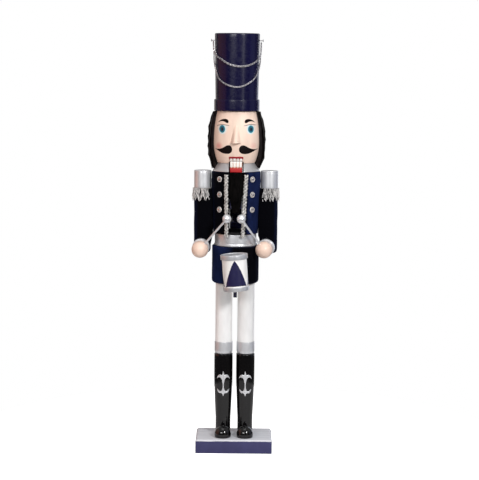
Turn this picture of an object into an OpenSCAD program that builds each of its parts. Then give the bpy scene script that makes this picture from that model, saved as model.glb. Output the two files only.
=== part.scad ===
// Tall wooden nutcracker drummer on a base block. Millimetres, +Z up, the figure faces -Y.
// The origin is on the underside of the base, on the figure's own upright axis.
// "left" is the -X side and "right" is the +X side, as a viewer in front of the figure sees them.

/* [Base] */
// Width of the base block
base_w = 110; // [100:1:130]
// Depth of the base block
base_d = 78; // [76:1:90]
// Thickness of the base block
base_h = 20; // [18:1:24]
// Bevel around the top edge of the base
base_bevel = 2.5; // [1:0.5:3]

/* [Legs and boots] */
// Distance of each leg from the figure's axis
leg_x = 15.9; // [15.5:0.1:17]
// Radius of a trouser leg
leg_r = 12.2; // [11:0.1:12.4]
// Radius of a boot where the calf is widest
boot_r = 13.3; // [12.6:0.1:13.6]
// Radius of a boot at the ankle
ankle_r = 11; // [10:0.1:12]
// Height of the boot's top edge above the floor
boot_top = 139.5; // [120:0.5:145]
// Height of the silver cuff above the boot
boot_cuff_h = 17; // [12:0.5:20]
// Radius of the silver cuff above the boot
boot_cuff_r = 13; // [12.8:0.1:13.4]
// Radius of the ball that a toe cap is cut from
toe_r = 12; // [11:0.1:13]

/* [Body] */
// Height of the skirt's lower edge above the floor
skirt_z = 244; // [235:0.5:246]
// Outer radius of the velvet skirt
skirt_r = 33.9; // [33:0.1:34.2]
// Height of the joint between the skirt and the chest
waist_z = 297; // [290:0.5:300]
// Height of the belt
belt_h = 18; // [12:0.5:20]
// Outer radius of the belt
belt_r = 30.1; // [29:0.1:31]
// Height of the chest's flat top above the floor
chest_z = 404.5; // [404:0.5:406]
// Outer radius of the coat at the shoulders
chest_top_r = 34.5; // [33.5:0.1:34.6]
// Outer radius of the coat just above the belt
chest_low_r = 32.2; // [31.5:0.1:33.5]
// Thickness of the velvet on the coat, skirt and sleeves
cloth_t = 0.9; // [0.6:0.1:1.2]

/* [Head and hat] */
// Height of the head's flat underside above the floor
head_z = 416.5; // [416:0.5:417]
// Widest radius of the barrel-shaped head
head_r = 33.2; // [32:0.1:33.6]
// Radius of the head under the hat
head_top_r = 27.7; // [26:0.1:29]
// Radius of the head at its underside
head_low_r = 27; // [26:0.1:28]
// Height of the hat's lower edge above the floor
hat_z = 490.5; // [488:0.5:492]
// Height of the hat's lower band
hat_band_h = 16; // [12:0.5:18]
// Radius of the hat's lower band
hat_band_r = 32.3; // [32:0.1:33]
// Height of the top of the hat above the floor
hat_top = 600; // [595:1:605]
// Radius of the hat's flat top
hat_top_r = 32.1; // [31.8:0.1:32.4]
// Radius of the crown just above the band
hat_low_r = 30.4; // [30:0.1:31]

/* [Jaw] */
// Width of the jaw and its lever
jaw_w = 17.6; // [16:0.1:18]
// Width of the slot that the jaw moves in
slot_w = 21; // [20.6:0.1:21.4]
// Height of the closed mouth line above the floor
mouth_z = 418.7; // [418:0.1:419]
// Jaw pin's position from front to back
jaw_pin_y = -6; // [-8:0.5:-4]
// Jaw pin's height above the floor
jaw_pin_z = 362; // [360:0.5:364]

/* [Arms] */
// Distance of each arm's axis from the figure's axis
arm_x = 47.9; // [47.9:0.1:50]
// Outer radius of a sleeve
sleeve_r = 12.5; // [12:0.1:12.5]
// Height of the shoulder pins above the floor
shoulder_z = 390; // [389:0.5:391]
// Height of the elbows above the floor
elbow_z = 298; // [294:0.5:300]
// How far the left forearm turns outward, in degrees
left_turn = 6; // [0:1:8]
// How far the right forearm turns inward, in degrees
right_turn = 16; // [0:1:16]
// Radius of the hands
hand_r = 12; // [11:0.1:12]
// Radius of the balls on the drumsticks
stick_ball_r = 6.4; // [5:0.1:6.5]

/* [Drum] */
// Radius of the drum's rims
drum_rim_r = 19.4; // [18:0.1:20]
// Radius of the drum's shell
drum_r = 17.5; // [16.5:0.1:17.8]
// Height of the whole drum
drum_h = 51.5; // [45:0.5:52]
// Roll of the drum about its peg, in degrees
drum_roll = 4.5; // [0:0.5:6]

/* [Hidden] */

$fn = 96;
gap = 0.05;                 // glue gap between fixed pieces whose round faces meet
bore_gap = 0.05;            // running clearance of a pin in the piece that turns on it
silver = [0.78, 0.78, 0.80];
navy = [0.08, 0.08, 0.24];
velvet = [0.03, 0.04, 0.09];
white = [0.90, 0.90, 0.88];
flesh = [0.94, 0.82, 0.74];
wood = [0.76, 0.62, 0.44];
black = [0.05, 0.05, 0.06];

dowel_r = 4;                // leg dowels
dowel_h = 30;
screw_x = leg_x;            // base screws, one under each boot
screw_r = 1.9;
cuff_spigot_r = 9.5;        // neck of the trouser leg inside the silver cuff
skirt_core_r = skirt_r - cloth_t - gap;
chest_core_low_r = chest_low_r - cloth_t - gap;
chest_core_top_r = chest_top_r - cloth_t - gap;
belt_core_r = belt_r - 1.6;
belt_z = waist_z + belt_h;
slot_z = belt_z + 3;        // floor of the jaw slot
head_mid_z = 446;           // height of the head's widest ring
head_dowel_x = 18;
head_dowel_y = 12;
hat_band_z = hat_z + hat_band_h;
jaw_pin_r = 1.5;
shoulder_pin_r = 2.5;
arm_core_r = sleeve_r - 1.2;
arm_top = 403.4;
cap_top = 405;              // top of the epaulette
cap_low = 380;              // lower edge of the epaulette
fringe_low = 360.5;
torso_clear_x = 35;         // the arms' outer pieces stop at this distance from the middle
forearm_slope = 10;         // forearms point this many degrees below level
cuff_at = 12;               // from the elbow, along the forearm, to the cuff
cuff_t = 5;
cuff_r = 12.4;
hand_at = 27;               // from the elbow, along the forearm, to the hand's centre
stick_r = 1.5;
stick_ball_y = -47;
stick_ball_z = 339.5;
stick_ball_x = [-12.5, 8];  // left and right ball
drum_y = -(skirt_r + drum_rim_r + 0.1);
drum_z = 264.5;             // height of the drum's middle and of its peg
button_z = [394, 372, 350.5];
button_x = 23;
button_r = 4.1;
nail_z = 590;

// Chain routes, from the left nail round the front of the crown to the right nail.
chain_upper_route = [[-34, -2, 588.6], [-34, -3, 584], [-33.6, -5, 579], [-32.6, -8, 574.5],
    [-29.8, -15, 569], [-26.6, -20, 566], [-22.5, -24.5, 563.5], [-17.5, -28.3, 560],
    [-11.8, -31.1, 556.8], [-5, -32.9, 554.5], [2.8, -33.2, 553.4], [9, -32, 553.6],
    [14.6, -29.9, 554.4], [20.5, -26.2, 556.6], [26.4, -20.3, 560], [30.4, -13.8, 564],
    [33, -7, 569.5], [33.8, -4, 576], [34, -3, 583], [34, -2, 588.6]];
chain_lower_route = [[-34, 2, 588.6], [-33.8, 2.4, 582], [-33.4, 2.6, 575], [-33.1, 2, 567],
    [-32.7, -1.5, 559.5], [-31.2, -9.8, 552], [-29.2, -14.7, 544.5], [-25.8, -20, 536.5],
    [-20, -25.8, 531], [-11.8, -30.4, 526.8], [0, -32.5, 524.4], [11.8, -30.4, 527.2],
    [20.4, -25.4, 532.5], [25.4, -20.5, 537.6], [29, -15, 544], [31.2, -9.8, 551],
    [32.7, -1.5, 559], [33.1, 2, 567], [33.4, 2.6, 575], [33.8, 2.4, 582], [34, 2, 588.6]];
chain_upper_r = 1.5;
chain_lower_r = 1.3;

// Points on an arc about [cx, cy], from angle a to angle b.
function arc(cx, cy, r, a, b, n = 8) = [for (i = [0:n])
    let (t = a + (b - a) * i / n) [cx + r * cos(t), cy + r * sin(t)]];

// Outline of the head: a barrel whose widest ring is nearer to its underside.
function head_radius(z) = z > head_mid_z
    ? head_r - (head_r - head_top_r) * pow((z - head_mid_z) / (hat_z - head_mid_z), 2.1)
    : head_r - (head_r - head_low_r) * pow((head_mid_z - z) / (head_mid_z - head_z), 2.1);
function head_outline(grow = 0) = [for (i = [0:18])
    let (z = head_z + (hat_z - head_z) * i / 18) [head_radius(z) + grow, z]];

// Outline of a boot from the sole up: straight ankle, then a calf that swells and closes in.
function boot_radius(t) = ankle_r
    + (boot_r - ankle_r) * sin(90 * min(max((t - 0.2) / 0.6, 0), 1));
function boot_outline() = concat(
    [for (i = [0:12]) let (t = i / 12 * 0.94) [boot_radius(t), base_h + (boot_top - base_h) * t]],
    [[boot_r - 1.2, boot_top - 1.5], [boot_r - 2.2, boot_top]]);

// Which way a forearm points, as a unit vector, for side -1 (left) or 1 (right).
function forearm_turn(side) = side < 0 ? -left_turn : -right_turn;
function forearm_dir(side) = [sin(forearm_turn(side)) * cos(forearm_slope),
    -cos(forearm_turn(side)) * cos(forearm_slope), -sin(forearm_slope)];
function elbow(side) = [side * arm_x, 0, elbow_z];
function hand_centre(side) = elbow(side) + hand_at * forearm_dir(side);
function ball_centre(side) = [side < 0 ? stick_ball_x[0] : stick_ball_x[1], stick_ball_y, stick_ball_z];

// Rings of a tube that is swept along a route.
function unit(v) = v / norm(v);
function route_dir(route, i) = unit(route[min(i + 1, len(route) - 1)] - route[max(i - 1, 0)]);
function ring_side(d) = unit(cross(d, abs(d[2]) > 0.95 ? [0, 1, 0] : [0, 0, 1]));
function ring(route, i, r, sides, out) = let (d = route_dir(route, i), u = out[i], w = cross(d, u))
    [for (k = [0:sides - 1]) route[i] + r * (u * cos(360 * k / sides) + w * sin(360 * k / sides))];
// Each ring keeps the direction of the one before it, so the tube never twists.
function carried(route, i, last) = let (d = route_dir(route, i)) unit(last - d * (last * d));
function outs(route) = [for (i = 0, u = ring_side(route_dir(route, 0)); i < len(route);
    i = i + 1, u = i < len(route) ? carried(route, i, u) : u) u];

module tube(route, r, sides = 8) {
    n = len(route);
    out = outs(route);
    polyhedron(
        points = [for (i = [0:n - 1]) each ring(route, i, r, sides, out)],
        faces = concat(
            [[for (k = [0:sides - 1]) k]],
            [for (i = [0:n - 2]) for (k = [0:sides - 1]) let (a = i * sides + k,
                b = i * sides + (k + 1) % sides) [a, a + sides, b + sides, b]],
            [[for (k = [sides - 1:-1:0]) (n - 1) * sides + k]]));
}

// A solid or a tool whose own Z runs from point a to point b.
module along(a, b) {
    d = b - a;
    translate(a)
        rotate([0, acos(d[2] / norm(d)), atan2(d[1], d[0])])
            children();
}

module rod(a, b, r) {
    along(a, b) cylinder(r = r, h = norm(b - a));
}

// The space that the jaw and its lever move in, open at the front, top and back.
module jaw_slot(from_z, to_z) {
    translate([-slot_w / 2, -60, from_z]) cube([slot_w, 120, to_z - from_z]);
}

// The half of space on one side of the figure's middle plane.
module half_space(side) {
    translate([side < 0 ? -200 : 0, -200, 0]) cube([200, 400, 700]);
}

// ---- base and legs ----

module base_block() {
    color(navy) difference() {
        translate([0, -4, 0]) union() {
            translate([-base_w / 2, -base_d / 2, 0]) cube([base_w, base_d, base_h - base_bevel]);
            intersection() {
                translate([-base_w / 2, -base_d / 2, base_h - base_bevel - 1])
                    cube([base_w, base_d, base_bevel + 1]);
                bevel_block();
            }
        }
        for (s = [-1, 1]) translate([s * screw_x, 0, 0]) screw_hole();
    }
}

// The block between the four bevel planes: two wedge-shaped prisms crossed.
module bevel_block() {
    intersection() {
        rotate([90, 0, 0]) linear_extrude(height = 2 * base_d, center = true)
            polygon(bevel_profile(base_w));
        rotate([90, 0, 90]) linear_extrude(height = 2 * base_w, center = true)
            polygon(bevel_profile(base_d));
    }
}

function bevel_profile(w) = [[-w / 2, 0], [w / 2, 0], [w / 2, base_h - base_bevel],
    [w / 2 - base_bevel, base_h], [base_bevel - w / 2, base_h], [-w / 2, base_h - base_bevel]];

module screw_hole() {
    translate([0, 0, -1]) cylinder(r = screw_r + 0.3, h = base_h + 2);
    translate([0, 0, -1]) cylinder(r = 4.4, h = 4.5);
}

module base_screws() {
    color("silver") for (s = [-1, 1]) translate([s * screw_x, 0, 0]) difference() {
        union() {
            translate([0, 0, 1]) cylinder(r = 4, h = 2.5);
            translate([0, 0, 3.5]) cylinder(r = screw_r, h = 36.5);
            translate([0, 0, 40]) cylinder(r1 = screw_r, r2 = 0.4, h = 4);
        }
        translate([-3, -0.5, 0]) cube([6, 1, 2.2]);
        translate([-0.5, -3, 0]) cube([1, 6, 2.2]);
    }
}

module boot(side) {
    color(black) translate([side * leg_x, 0, 0]) difference() {
        rotate_extrude() polygon(concat([[0, base_h]], boot_outline(), [[0, boot_top]]));
        translate([0, 0, base_h - 1]) cylinder(r = screw_r + 0.02, h = 21);
        translate([0, 0, base_h + 19.9]) cylinder(r1 = screw_r + 0.1, r2 = 0.5, h = 4.5);
        translate([0, 0, boot_top - dowel_h / 2]) cylinder(r = dowel_r + 0.02, h = dowel_h);
    }
}

module toe_cap(side) {
    color(black) translate([side * leg_x, 0, 0]) difference() {
        intersection() {
            translate([0, -24, base_h + 4]) sphere(r = toe_r);
            translate([-20, -50, base_h]) cube([40, 50, 30]);
        }
        translate([0, 0, base_h - 1]) cylinder(r = ankle_r + gap, h = 40);
    }
}

module boot_cuff(side) {
    color(silver) translate([side * leg_x, 0, boot_top]) rotate_extrude()
        polygon(concat([[cuff_spigot_r + gap, 0], [boot_cuff_r - 1.2, 0], [boot_cuff_r, 3]],
            arc(boot_cuff_r - 0.8, boot_cuff_h - 0.8, 0.8, 0, 90, 4),
            [[cuff_spigot_r + gap, boot_cuff_h]]));
}

module trouser_leg(side) {
    color(white) translate([side * leg_x, 0, 0]) difference() {
        union() {
            translate([0, 0, boot_top]) cylinder(r = cuff_spigot_r, h = boot_cuff_h + 1);
            translate([0, 0, boot_top + boot_cuff_h])
                cylinder(r = leg_r, h = skirt_z - boot_top - boot_cuff_h);
        }
        translate([0, 0, boot_top - 1]) cylinder(r = dowel_r + 0.02, h = dowel_h / 2 + 1);
        translate([0, 0, skirt_z - dowel_h / 2]) cylinder(r = dowel_r + 0.02, h = dowel_h);
    }
}

module leg_dowels() {
    color(wood) for (s = [-1, 1]) for (z = [boot_top, skirt_z])
        translate([s * leg_x, 0, z - dowel_h / 2 + 0.5]) cylinder(r = dowel_r, h = dowel_h - 1);
}

// ---- body ----

module skirt_core() {
    color(wood) difference() {
        rotate_extrude() polygon(concat([[0, skirt_z], [skirt_core_r - 4, skirt_z]],
            arc(skirt_core_r - 4, skirt_z + 4, 4, -90, 0, 6),
            [[skirt_core_r, waist_z - 0.6], [0, waist_z - 0.6]]));
        for (s = [-1, 1]) translate([s * leg_x, 0, skirt_z - 1])
            cylinder(r = dowel_r + 0.02, h = dowel_h / 2 + 1);
        translate([0, 0, waist_z - 20]) cylinder(r = 5.02, h = 30);
        rod([0, -50, drum_z], [0, -18, drum_z], 3.02);
    }
}

module skirt_cloth() {
    r = skirt_core_r + gap;
    color(velvet) difference() {
        rotate_extrude() polygon(concat(
            [[r - 6, skirt_z - 0.02]],
            arc(r - 4, skirt_z + 4, 4 + cloth_t, -90, 0, 8),
            [[r + cloth_t, waist_z], [belt_r - 2, waist_z], [belt_r - 2, waist_z - 0.5],
                [r, waist_z - 0.5]],
            arc(r - 4, skirt_z + 4, 4, 0, -90, 8),
            [[r - 6, skirt_z - 0.01]]));
        for (s = [-1, 1]) translate([s * leg_x, 0, skirt_z - 5]) cylinder(r = leg_r + 0.1, h = 9);
        rod([0, -50, drum_z], [0, -20, drum_z], 3.1);
    }
}

module body_dowel() {
    color(wood) translate([0, 0, waist_z - 19.5]) cylinder(r = 5, h = 38.5);
}

// A belt ring with a rolled lip along its lower edge.
module belt() {
    inner = belt_core_r + gap;
    color(silver) translate([0, 0, waist_z]) rotate_extrude() polygon(concat(
        [[inner, 0.02]], arc(belt_r - 0.6, 1.8, 1.6, -70, 70, 6),
        [[belt_r - 0.1, 4], [belt_r, belt_h - 1], [belt_r - 0.5, belt_h - 0.1],
            [inner, belt_h - 0.1]]));
}

module chest_core() {
    color(wood) difference() {
        rotate_extrude() polygon([[0, waist_z], [belt_core_r, waist_z], [belt_core_r, belt_z],
            [chest_core_low_r, belt_z], [chest_core_top_r, chest_z - 3],
            [chest_core_top_r - 2, chest_z], [0, chest_z]]);
        jaw_slot(slot_z, chest_z + 1);
        translate([0, 0, waist_z - 1]) cylinder(r = 5.02, h = 20.5);
        rod([-60, jaw_pin_y, jaw_pin_z], [60, jaw_pin_y, jaw_pin_z], jaw_pin_r + 0.02);
        for (s = [-1, 1]) {
            rod([s * 15.5, 0, shoulder_z], [s * 60, 0, shoulder_z], shoulder_pin_r + 0.02);
            translate([s * head_dowel_x, head_dowel_y, chest_z - 20]) cylinder(r = 3.02, h = 25);
        }
        button_shanks(0.72);
    }
}

module coat_cloth(side) {
    low = chest_core_low_r + gap;
    top = chest_core_top_r + gap;
    color(velvet) difference() {
        intersection() {
            rotate_extrude() polygon([[low, belt_z + gap], [low + cloth_t, belt_z + gap],
                [top + cloth_t, chest_z - 3], [top + cloth_t - 2.2, chest_z - 0.05],
                [top - 2 + gap, chest_z - 0.05], [top, chest_z - 3]]);
            half_space(side);
        }
        jaw_slot(belt_z - 1, chest_z + 1);
        rod([side * 20, 0, shoulder_z], [side * 60, 0, shoulder_z], shoulder_pin_r + 0.3);
        button_shanks(0.9);
    }
}

module collar(side) {
    color(silver) difference() {
        intersection() {
            rotate_extrude() polygon([[0, chest_z], [32.9, chest_z], [32.6, chest_z + 0.9],
                [25.9, head_z], [0, head_z]]);
            half_space(side);
        }
        jaw_slot(chest_z - 1, head_z + 1);
        translate([side * head_dowel_x, head_dowel_y, chest_z - 1]) cylinder(r = 3.02, h = 20);
    }
}

module head_dowels() {
    color(wood) for (s = [-1, 1])
        translate([s * head_dowel_x, head_dowel_y, chest_z - 19.5]) cylinder(r = 3, h = 50);
}

// Where a button stands on the coat, facing straight out.
module at_buttons() {
    for (s = [-1, 1]) for (z = button_z) {
        r = chest_low_r + (chest_top_r - chest_low_r) * (z - belt_z) / (chest_z - 3 - belt_z);
        rotate([0, 0, s * asin(button_x / r)]) translate([0, -r, z]) rotate([90, 0, 0]) children();
    }
}

module button_shanks(r) {
    at_buttons() translate([0, 0, -8]) cylinder(r = r, h = 9);
}

// Domed studs, each with a wire shank in the chest.
module coat_buttons() {
    color(silver) at_buttons() {
        translate([0, 0, 0.35]) rotate_extrude() polygon(concat([[0, 0], [button_r, 0]],
            arc(0, 0.6, button_r, 0, 90, 8) * [[1, 0], [0, 0.62]]));
        translate([0, 0, -7]) cylinder(r = 0.7, h = 7.6);
    }
}

// A twisted cord trim that follows the edge of the coat down to the belt.
module coat_braid(side) {
    top_x = side < 0 ? -14 : 14.5;
    low_x = side < 0 ? -13 : 10;
    r = 2.5;
    route = [for (i = [0:16]) let (t = i / 16, z = chest_z - 4 - (chest_z - 4 - belt_z + 4) * t,
        x = top_x + (low_x - top_x) * t, out = chest_top_r
        + (chest_low_r - chest_top_r) * t + r + 0.1) [x, -sqrt(out * out - x * x), z]];
    color(silver) tube(route, r);
}

// ---- head and hat ----

module head() {
    color(flesh) difference() {
        rotate_extrude() polygon(concat([[0, head_z]], head_outline(), [[0, hat_z]]));
        translate([-slot_w / 2, -60, head_z - 1]) cube([slot_w, 62, mouth_z + 0.5 - head_z + 1]);
        for (s = [-1, 1]) translate([s * head_dowel_x, head_dowel_y, head_z - 1])
            cylinder(r = 3.02, h = 20);
        translate([0, 0, hat_z - 20]) cylinder(r = 5.02, h = 30);
    }
}

// A wedge, narrow between the eyes and wide at its flat underside.
module nose() {
    top = 472;
    low = 445.5;
    color(flesh) difference() {
        intersection() {
            translate([-10, 0, 0]) rotate([90, 0, 90]) linear_extrude(height = 20)
                polygon([[-20, top], [-31.8, top], [-43, low + 1.5], [-42.5, low], [-20, low]]);
            translate([0, -60, 0]) rotate([-90, 0, 0]) linear_extrude(height = 60)
                polygon([[-3.2, -top], [3.2, -top], [6.6, -low], [-6.6, -low]]);
            translate([0, 0, low - 5]) linear_extrude(height = 50)
                polygon([[-11, -20], [-1.2, -43.6], [1.2, -43.6], [11, -20]]);
        }
        rotate_extrude() polygon(concat([[0, head_z]], head_outline(gap), [[0, hat_z]]));
    }
}

// Long hair round the sides and back of the head, down to the collar.
module hair() {
    front_y = -8;
    color(black) difference() {
        rotate_extrude() polygon([[31.7, 407.5], [34, 407.5], [37.4, 416], [39.8, 427],
            [41, 440], [41, 452], [40, 466], [37.6, 477], [34.6, 486], [33, hat_z - 0.3],
            [25, hat_z - 0.3], [25, 420], [26.5, head_z + 0.5]]);
        rotate_extrude() polygon(concat([[0, head_z - 2]], head_outline(0.2), [[0, hat_z + 1]]));
        translate([-60, front_y - 80, 400]) cube([120, 80, 120]);
    }
}

module hat_dowel() {
    color(wood) translate([0, 0, hat_z - 19.5]) cylinder(r = 5, h = 39);
}

module hat_band() {
    color(navy) rotate_extrude() polygon(concat(
        [[5.02, hat_z]], arc(hat_band_r - 1, hat_z + 1, 1, -90, 0, 5),
        arc(hat_band_r - 1, hat_band_z - 1, 1, 0, 90, 5), [[5.02, hat_band_z]]));
}

module hat_crown() {
    color(navy) difference() {
        rotate_extrude() polygon(concat([[0, hat_band_z], [hat_low_r, hat_band_z]],
            arc(hat_top_r - 1.8, hat_top - 1.8, 1.8, 0, 90, 6), [[0, hat_top]]));
        translate([0, 0, hat_band_z - 1]) cylinder(r = 5.02, h = 5);
        for (s = [-1, 1]) rod([s * 26, 0, nail_z], [s * 40, 0, nail_z], 0.72);
    }
}

module chain_nails() {
    color(silver) for (s = [-1, 1]) {
        rod([s * 26.5, 0, nail_z], [s * 36.4, 0, nail_z], 0.7);
        rod([s * 36.3, 0, nail_z], [s * 37.4, 0, nail_z], 2);
    }
}

module chain_upper() { color("silver") tube(chain_upper_route, chain_upper_r); }
module chain_lower() { color("silver") tube(chain_lower_route, chain_lower_r); }

// ---- drum ----

// Everything on the drum is drawn about its own middle and hangs on one peg.
module drum_place() {
    translate([0, drum_y, drum_z]) rotate([0, -drum_roll, 0]) children();
}

module drum_shell() {
    color(white) drum_place() difference() {
        translate([0, 0, -drum_h / 2 + 2]) cylinder(r = drum_r, h = drum_h - 4);
        rod([0, -4, 0], [0, 40, 0], 3.02);
    }
}

module drum_rim_top() {
    color(silver) drum_place() rotate_extrude() polygon(concat(
        [[0, drum_h / 2 - 2], [drum_r + gap, drum_h / 2 - 2], [drum_r + gap, drum_h / 2 - 6.5]],
        arc(drum_rim_r - 0.7, drum_h / 2 - 5.8, 0.7, -90, 0, 4),
        arc(drum_rim_r - 0.7, drum_h / 2 - 0.7, 0.7, 0, 90, 4),
        [[drum_rim_r - 1.6, drum_h / 2], [drum_rim_r - 2.2, drum_h / 2 - 0.8], [0, drum_h / 2 - 0.8]]));
}

module drum_rim_bottom() {
    r = drum_rim_r - 1.1;
    color(silver) drum_place() mirror([0, 0, 1]) rotate_extrude() polygon(concat(
        [[0, drum_h / 2 - 2], [drum_r + gap, drum_h / 2 - 2], [drum_r + gap, drum_h / 2 - 6]],
        arc(r - 0.4, drum_h / 2 - 5.6, 0.4, -90, 0, 3),
        arc(r - 0.7, drum_h / 2 - 0.7, 0.7, 0, 90, 4), [[0, drum_h / 2]]));
}

module drum_peg() {
    color(wood) drum_place() rod([0, -3.5, 0], [0, -drum_y - 18.5, 0], 3);
}

// ---- pins ----

module jaw_pin() {
    color("silver") rod([-31, jaw_pin_y, jaw_pin_z], [31, jaw_pin_y, jaw_pin_z], jaw_pin_r);
}

module shoulder_pins() {
    color("silver") for (s = [-1, 1])
        rod([s * 16, 0, shoulder_z], [s * (arm_x - 2), 0, shoulder_z], shoulder_pin_r);
}

// ---- jaw ----

// One board: the lower jaw in front, an arm back past the pin, and the lever down the back.
module jaw_lever() {
    color(navy) difference() {
        intersection() {
            rotate([90, 0, 90]) linear_extrude(height = jaw_w, center = true)
                polygon([[-33, 404], [-33, mouth_z], [-12, mouth_z], [-12, 412], [-21, 402],
                    [-21, 372], [-2, 371], [42, 341], [42, 215], [35.4, 215], [35.4, 326],
                    [-4, 352], [-29.5, 352], [-29.5, 404]]);
            rotate([90, 0, 0]) linear_extrude(height = 200, center = true)
                polygon([[-jaw_w / 2, 500], [-jaw_w / 2, 310], [-2.7, 240], [-2.7, 200],
                    [2.7, 200], [2.7, 240], [jaw_w / 2, 310], [jaw_w / 2, 500]]);
        }
        rod([-20, jaw_pin_y, jaw_pin_z], [20, jaw_pin_y, jaw_pin_z], jaw_pin_r + bore_gap);
    }
}

// The fur beard, glued down the front of the jaw.
module beard() {
    back = -29.55;
    color(black) intersection() {
        rotate([90, 0, 90]) linear_extrude(height = 40, center = true)
            polygon([[back, 403.9], [-35.6, 403.9], [-38.4, 396], [-38.8, 376], [-36.8, 356],
                [-34.5, 348], [back, 346.5]]);
        translate([-0.3, 0, 0]) rotate([90, 0, 0]) linear_extrude(height = 100, center = true)
            polygon([[-9.6, 404], [-9.9, 385], [-9.4, 362], [-7.4, 351], [-4, 346.5],
                [4, 346.5], [7.4, 351], [9.4, 362], [9.9, 385], [9.6, 404]]);
    }
}

// ---- arms ----

module forearm_place(side) {
    along(elbow(side), elbow(side) + forearm_dir(side)) children();
}

module arm_core(side) {
    color(wood) translate([side * arm_x, 0, 0]) difference() {
        translate([0, 0, elbow_z - 8]) cylinder(r = arm_core_r, h = arm_top - elbow_z + 8);
        rod([-side * 20, 0, shoulder_z], [-side * 1.5, 0, shoulder_z], shoulder_pin_r + bore_gap);
    }
}

// A wooden forearm with a spigot that carries the cuff and the hand.
module forearm(side) {
    color(wood) difference() {
        forearm_place(side) {
            cylinder(r = 10, h = cuff_at);
            cylinder(r = 4, h = hand_at - 5);
        }
        translate([side * arm_x, 0, elbow_z - 20]) cylinder(r = arm_core_r + gap, h = 60);
    }
}

// The space round an arm's core, and the space on the torso's side of an arm.
module arm_core_space(side) {
    translate([side * arm_x, 0, elbow_z - 8 - gap]) cylinder(r = arm_core_r + gap, h = 120);
}

module torso_space(side) {
    translate([side * torso_clear_x - 50 * (1 + side), -50, 270]) cube([100, 100, 130]);
}

module sleeve(side) {
    color(velvet) difference() {
        union() {
            translate([side * arm_x, 0, 0]) rotate_extrude() polygon(concat(
                [[0, elbow_z - sleeve_r]], arc(0, elbow_z, sleeve_r, -84, 0, 10),
                [[sleeve_r, cap_low - 0.1], [0, cap_low - 0.1]]));
            forearm_place(side) cylinder(r = sleeve_r - 0.4, h = cuff_at - 0.05);
        }
        arm_core_space(side);
        forearm_place(side) cylinder(r = 10 + gap, h = cuff_at + 1);
        torso_space(side);
    }
}

// A cap pushed over the top of the arm.
module epaulette(side) {
    r = sleeve_r - 0.4;
    color(silver) translate([side * arm_x, 0, 0]) difference() {
        rotate_extrude() polygon(concat([[0, arm_top + gap], [arm_core_r + gap, arm_top + gap],
            [arm_core_r + gap, cap_low], [r, cap_low]], arc(r - 1, cap_top - 1, 1, 0, 90, 5),
            [[0, cap_top]]));
        rod([-side * 20, 0, shoulder_z], [-side * 6, 0, shoulder_z], shoulder_pin_r + 0.7);
    }
}

// Fringe round the arm under the cap, left open on the side that faces the body.
module epaulette_fringe(side) {
    inner = sleeve_r + gap;
    color(silver) difference() {
        translate([side * arm_x, 0, 0]) rotate_extrude()
            polygon([[inner, cap_low - 0.2], [inner + 1.2, cap_low - 0.2],
                [inner + 2.6, fringe_low], [inner, fringe_low]]);
        torso_space(side);
    }
}

module cuff(side) {
    color(silver) difference() {
        forearm_place(side) translate([0, 0, cuff_at]) rotate_extrude() polygon(concat(
            [[4.02, 0]], arc(cuff_r - 0.8, 0.8, 0.8, -90, 0, 4),
            arc(cuff_r - 0.8, cuff_t - 0.8, 0.8, 0, 90, 4), [[4.02, cuff_t]]));
        translate(hand_centre(side)) sphere(r = hand_r + gap);
        arm_core_space(side);
        torso_space(side);
    }
}

module hand(side) {
    color(flesh) difference() {
        translate(hand_centre(side)) sphere(r = hand_r);
        forearm_place(side) cylinder(r = 4.02, h = hand_at - 4.9);
        rod(stick_foot(side), ball_centre(side), stick_r + 0.02);
    }
}

// The stick starts inside the hand and ends inside its ball.
function stick_line(side) = unit(ball_centre(side) - hand_centre(side));
function stick_foot(side) = hand_centre(side) + 5 * stick_line(side);
function stick_tip(side) = ball_centre(side) - 1 * stick_line(side);

module drumstick(side) {
    color(silver) rod(stick_foot(side) + 0.1 * stick_line(side), stick_tip(side), stick_r);
}

module stick_ball(side) {
    color(silver) difference() {
        translate(ball_centre(side)) sphere(r = stick_ball_r);
        rod(hand_centre(side), stick_tip(side) + 0.1 * stick_line(side), stick_r + 0.02);
    }
}

base_block();
base_screws();
boot(-1);  // boot_left
boot(1);  // boot_right
toe_cap(-1);  // toe_cap_left
toe_cap(1);  // toe_cap_right
boot_cuff(-1);  // boot_cuff_left
boot_cuff(1);  // boot_cuff_right
trouser_leg(-1);  // trouser_leg_left
trouser_leg(1);  // trouser_leg_right
leg_dowels();
skirt_core();
skirt_cloth();
body_dowel();
belt();
chest_core();
coat_cloth(-1);  // coat_cloth_left
coat_cloth(1);  // coat_cloth_right
collar(-1);  // collar_left
collar(1);  // collar_right
head_dowels();
head();
nose();
hair();
hat_dowel();
hat_band();
hat_crown();
chain_nails();
chain_upper();
chain_lower();
coat_braid(-1);  // coat_braid_left
coat_braid(1);  // coat_braid_right
coat_buttons();
drum_shell();
drum_rim_top();
drum_rim_bottom();
drum_peg();
jaw_pin();
shoulder_pins();
jaw_lever();
beard();
arm_core(-1);  // arm_core_left
arm_core(1);  // arm_core_right
forearm(-1);  // forearm_left
forearm(1);  // forearm_right
sleeve(-1);  // sleeve_left
sleeve(1);  // sleeve_right
epaulette(-1);  // epaulette_left
epaulette(1);  // epaulette_right
epaulette_fringe(-1);  // epaulette_fringe_left
epaulette_fringe(1);  // epaulette_fringe_right
cuff(-1);  // cuff_left
cuff(1);  // cuff_right
hand(-1);  // hand_left
hand(1);  // hand_right
drumstick(-1);  // drumstick_left
drumstick(1);  // drumstick_right
stick_ball(-1);  // stick_ball_left
stick_ball(1);  // stick_ball_right
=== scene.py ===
"""The looks of a wooden nutcracker drummer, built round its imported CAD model.

Lengths in this script are millimetres in the frame's own axes: the figure faces -Y, and "left"
is the -X side, as a viewer in front sees it. piece() turns them into Blender's metres.
"""

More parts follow.
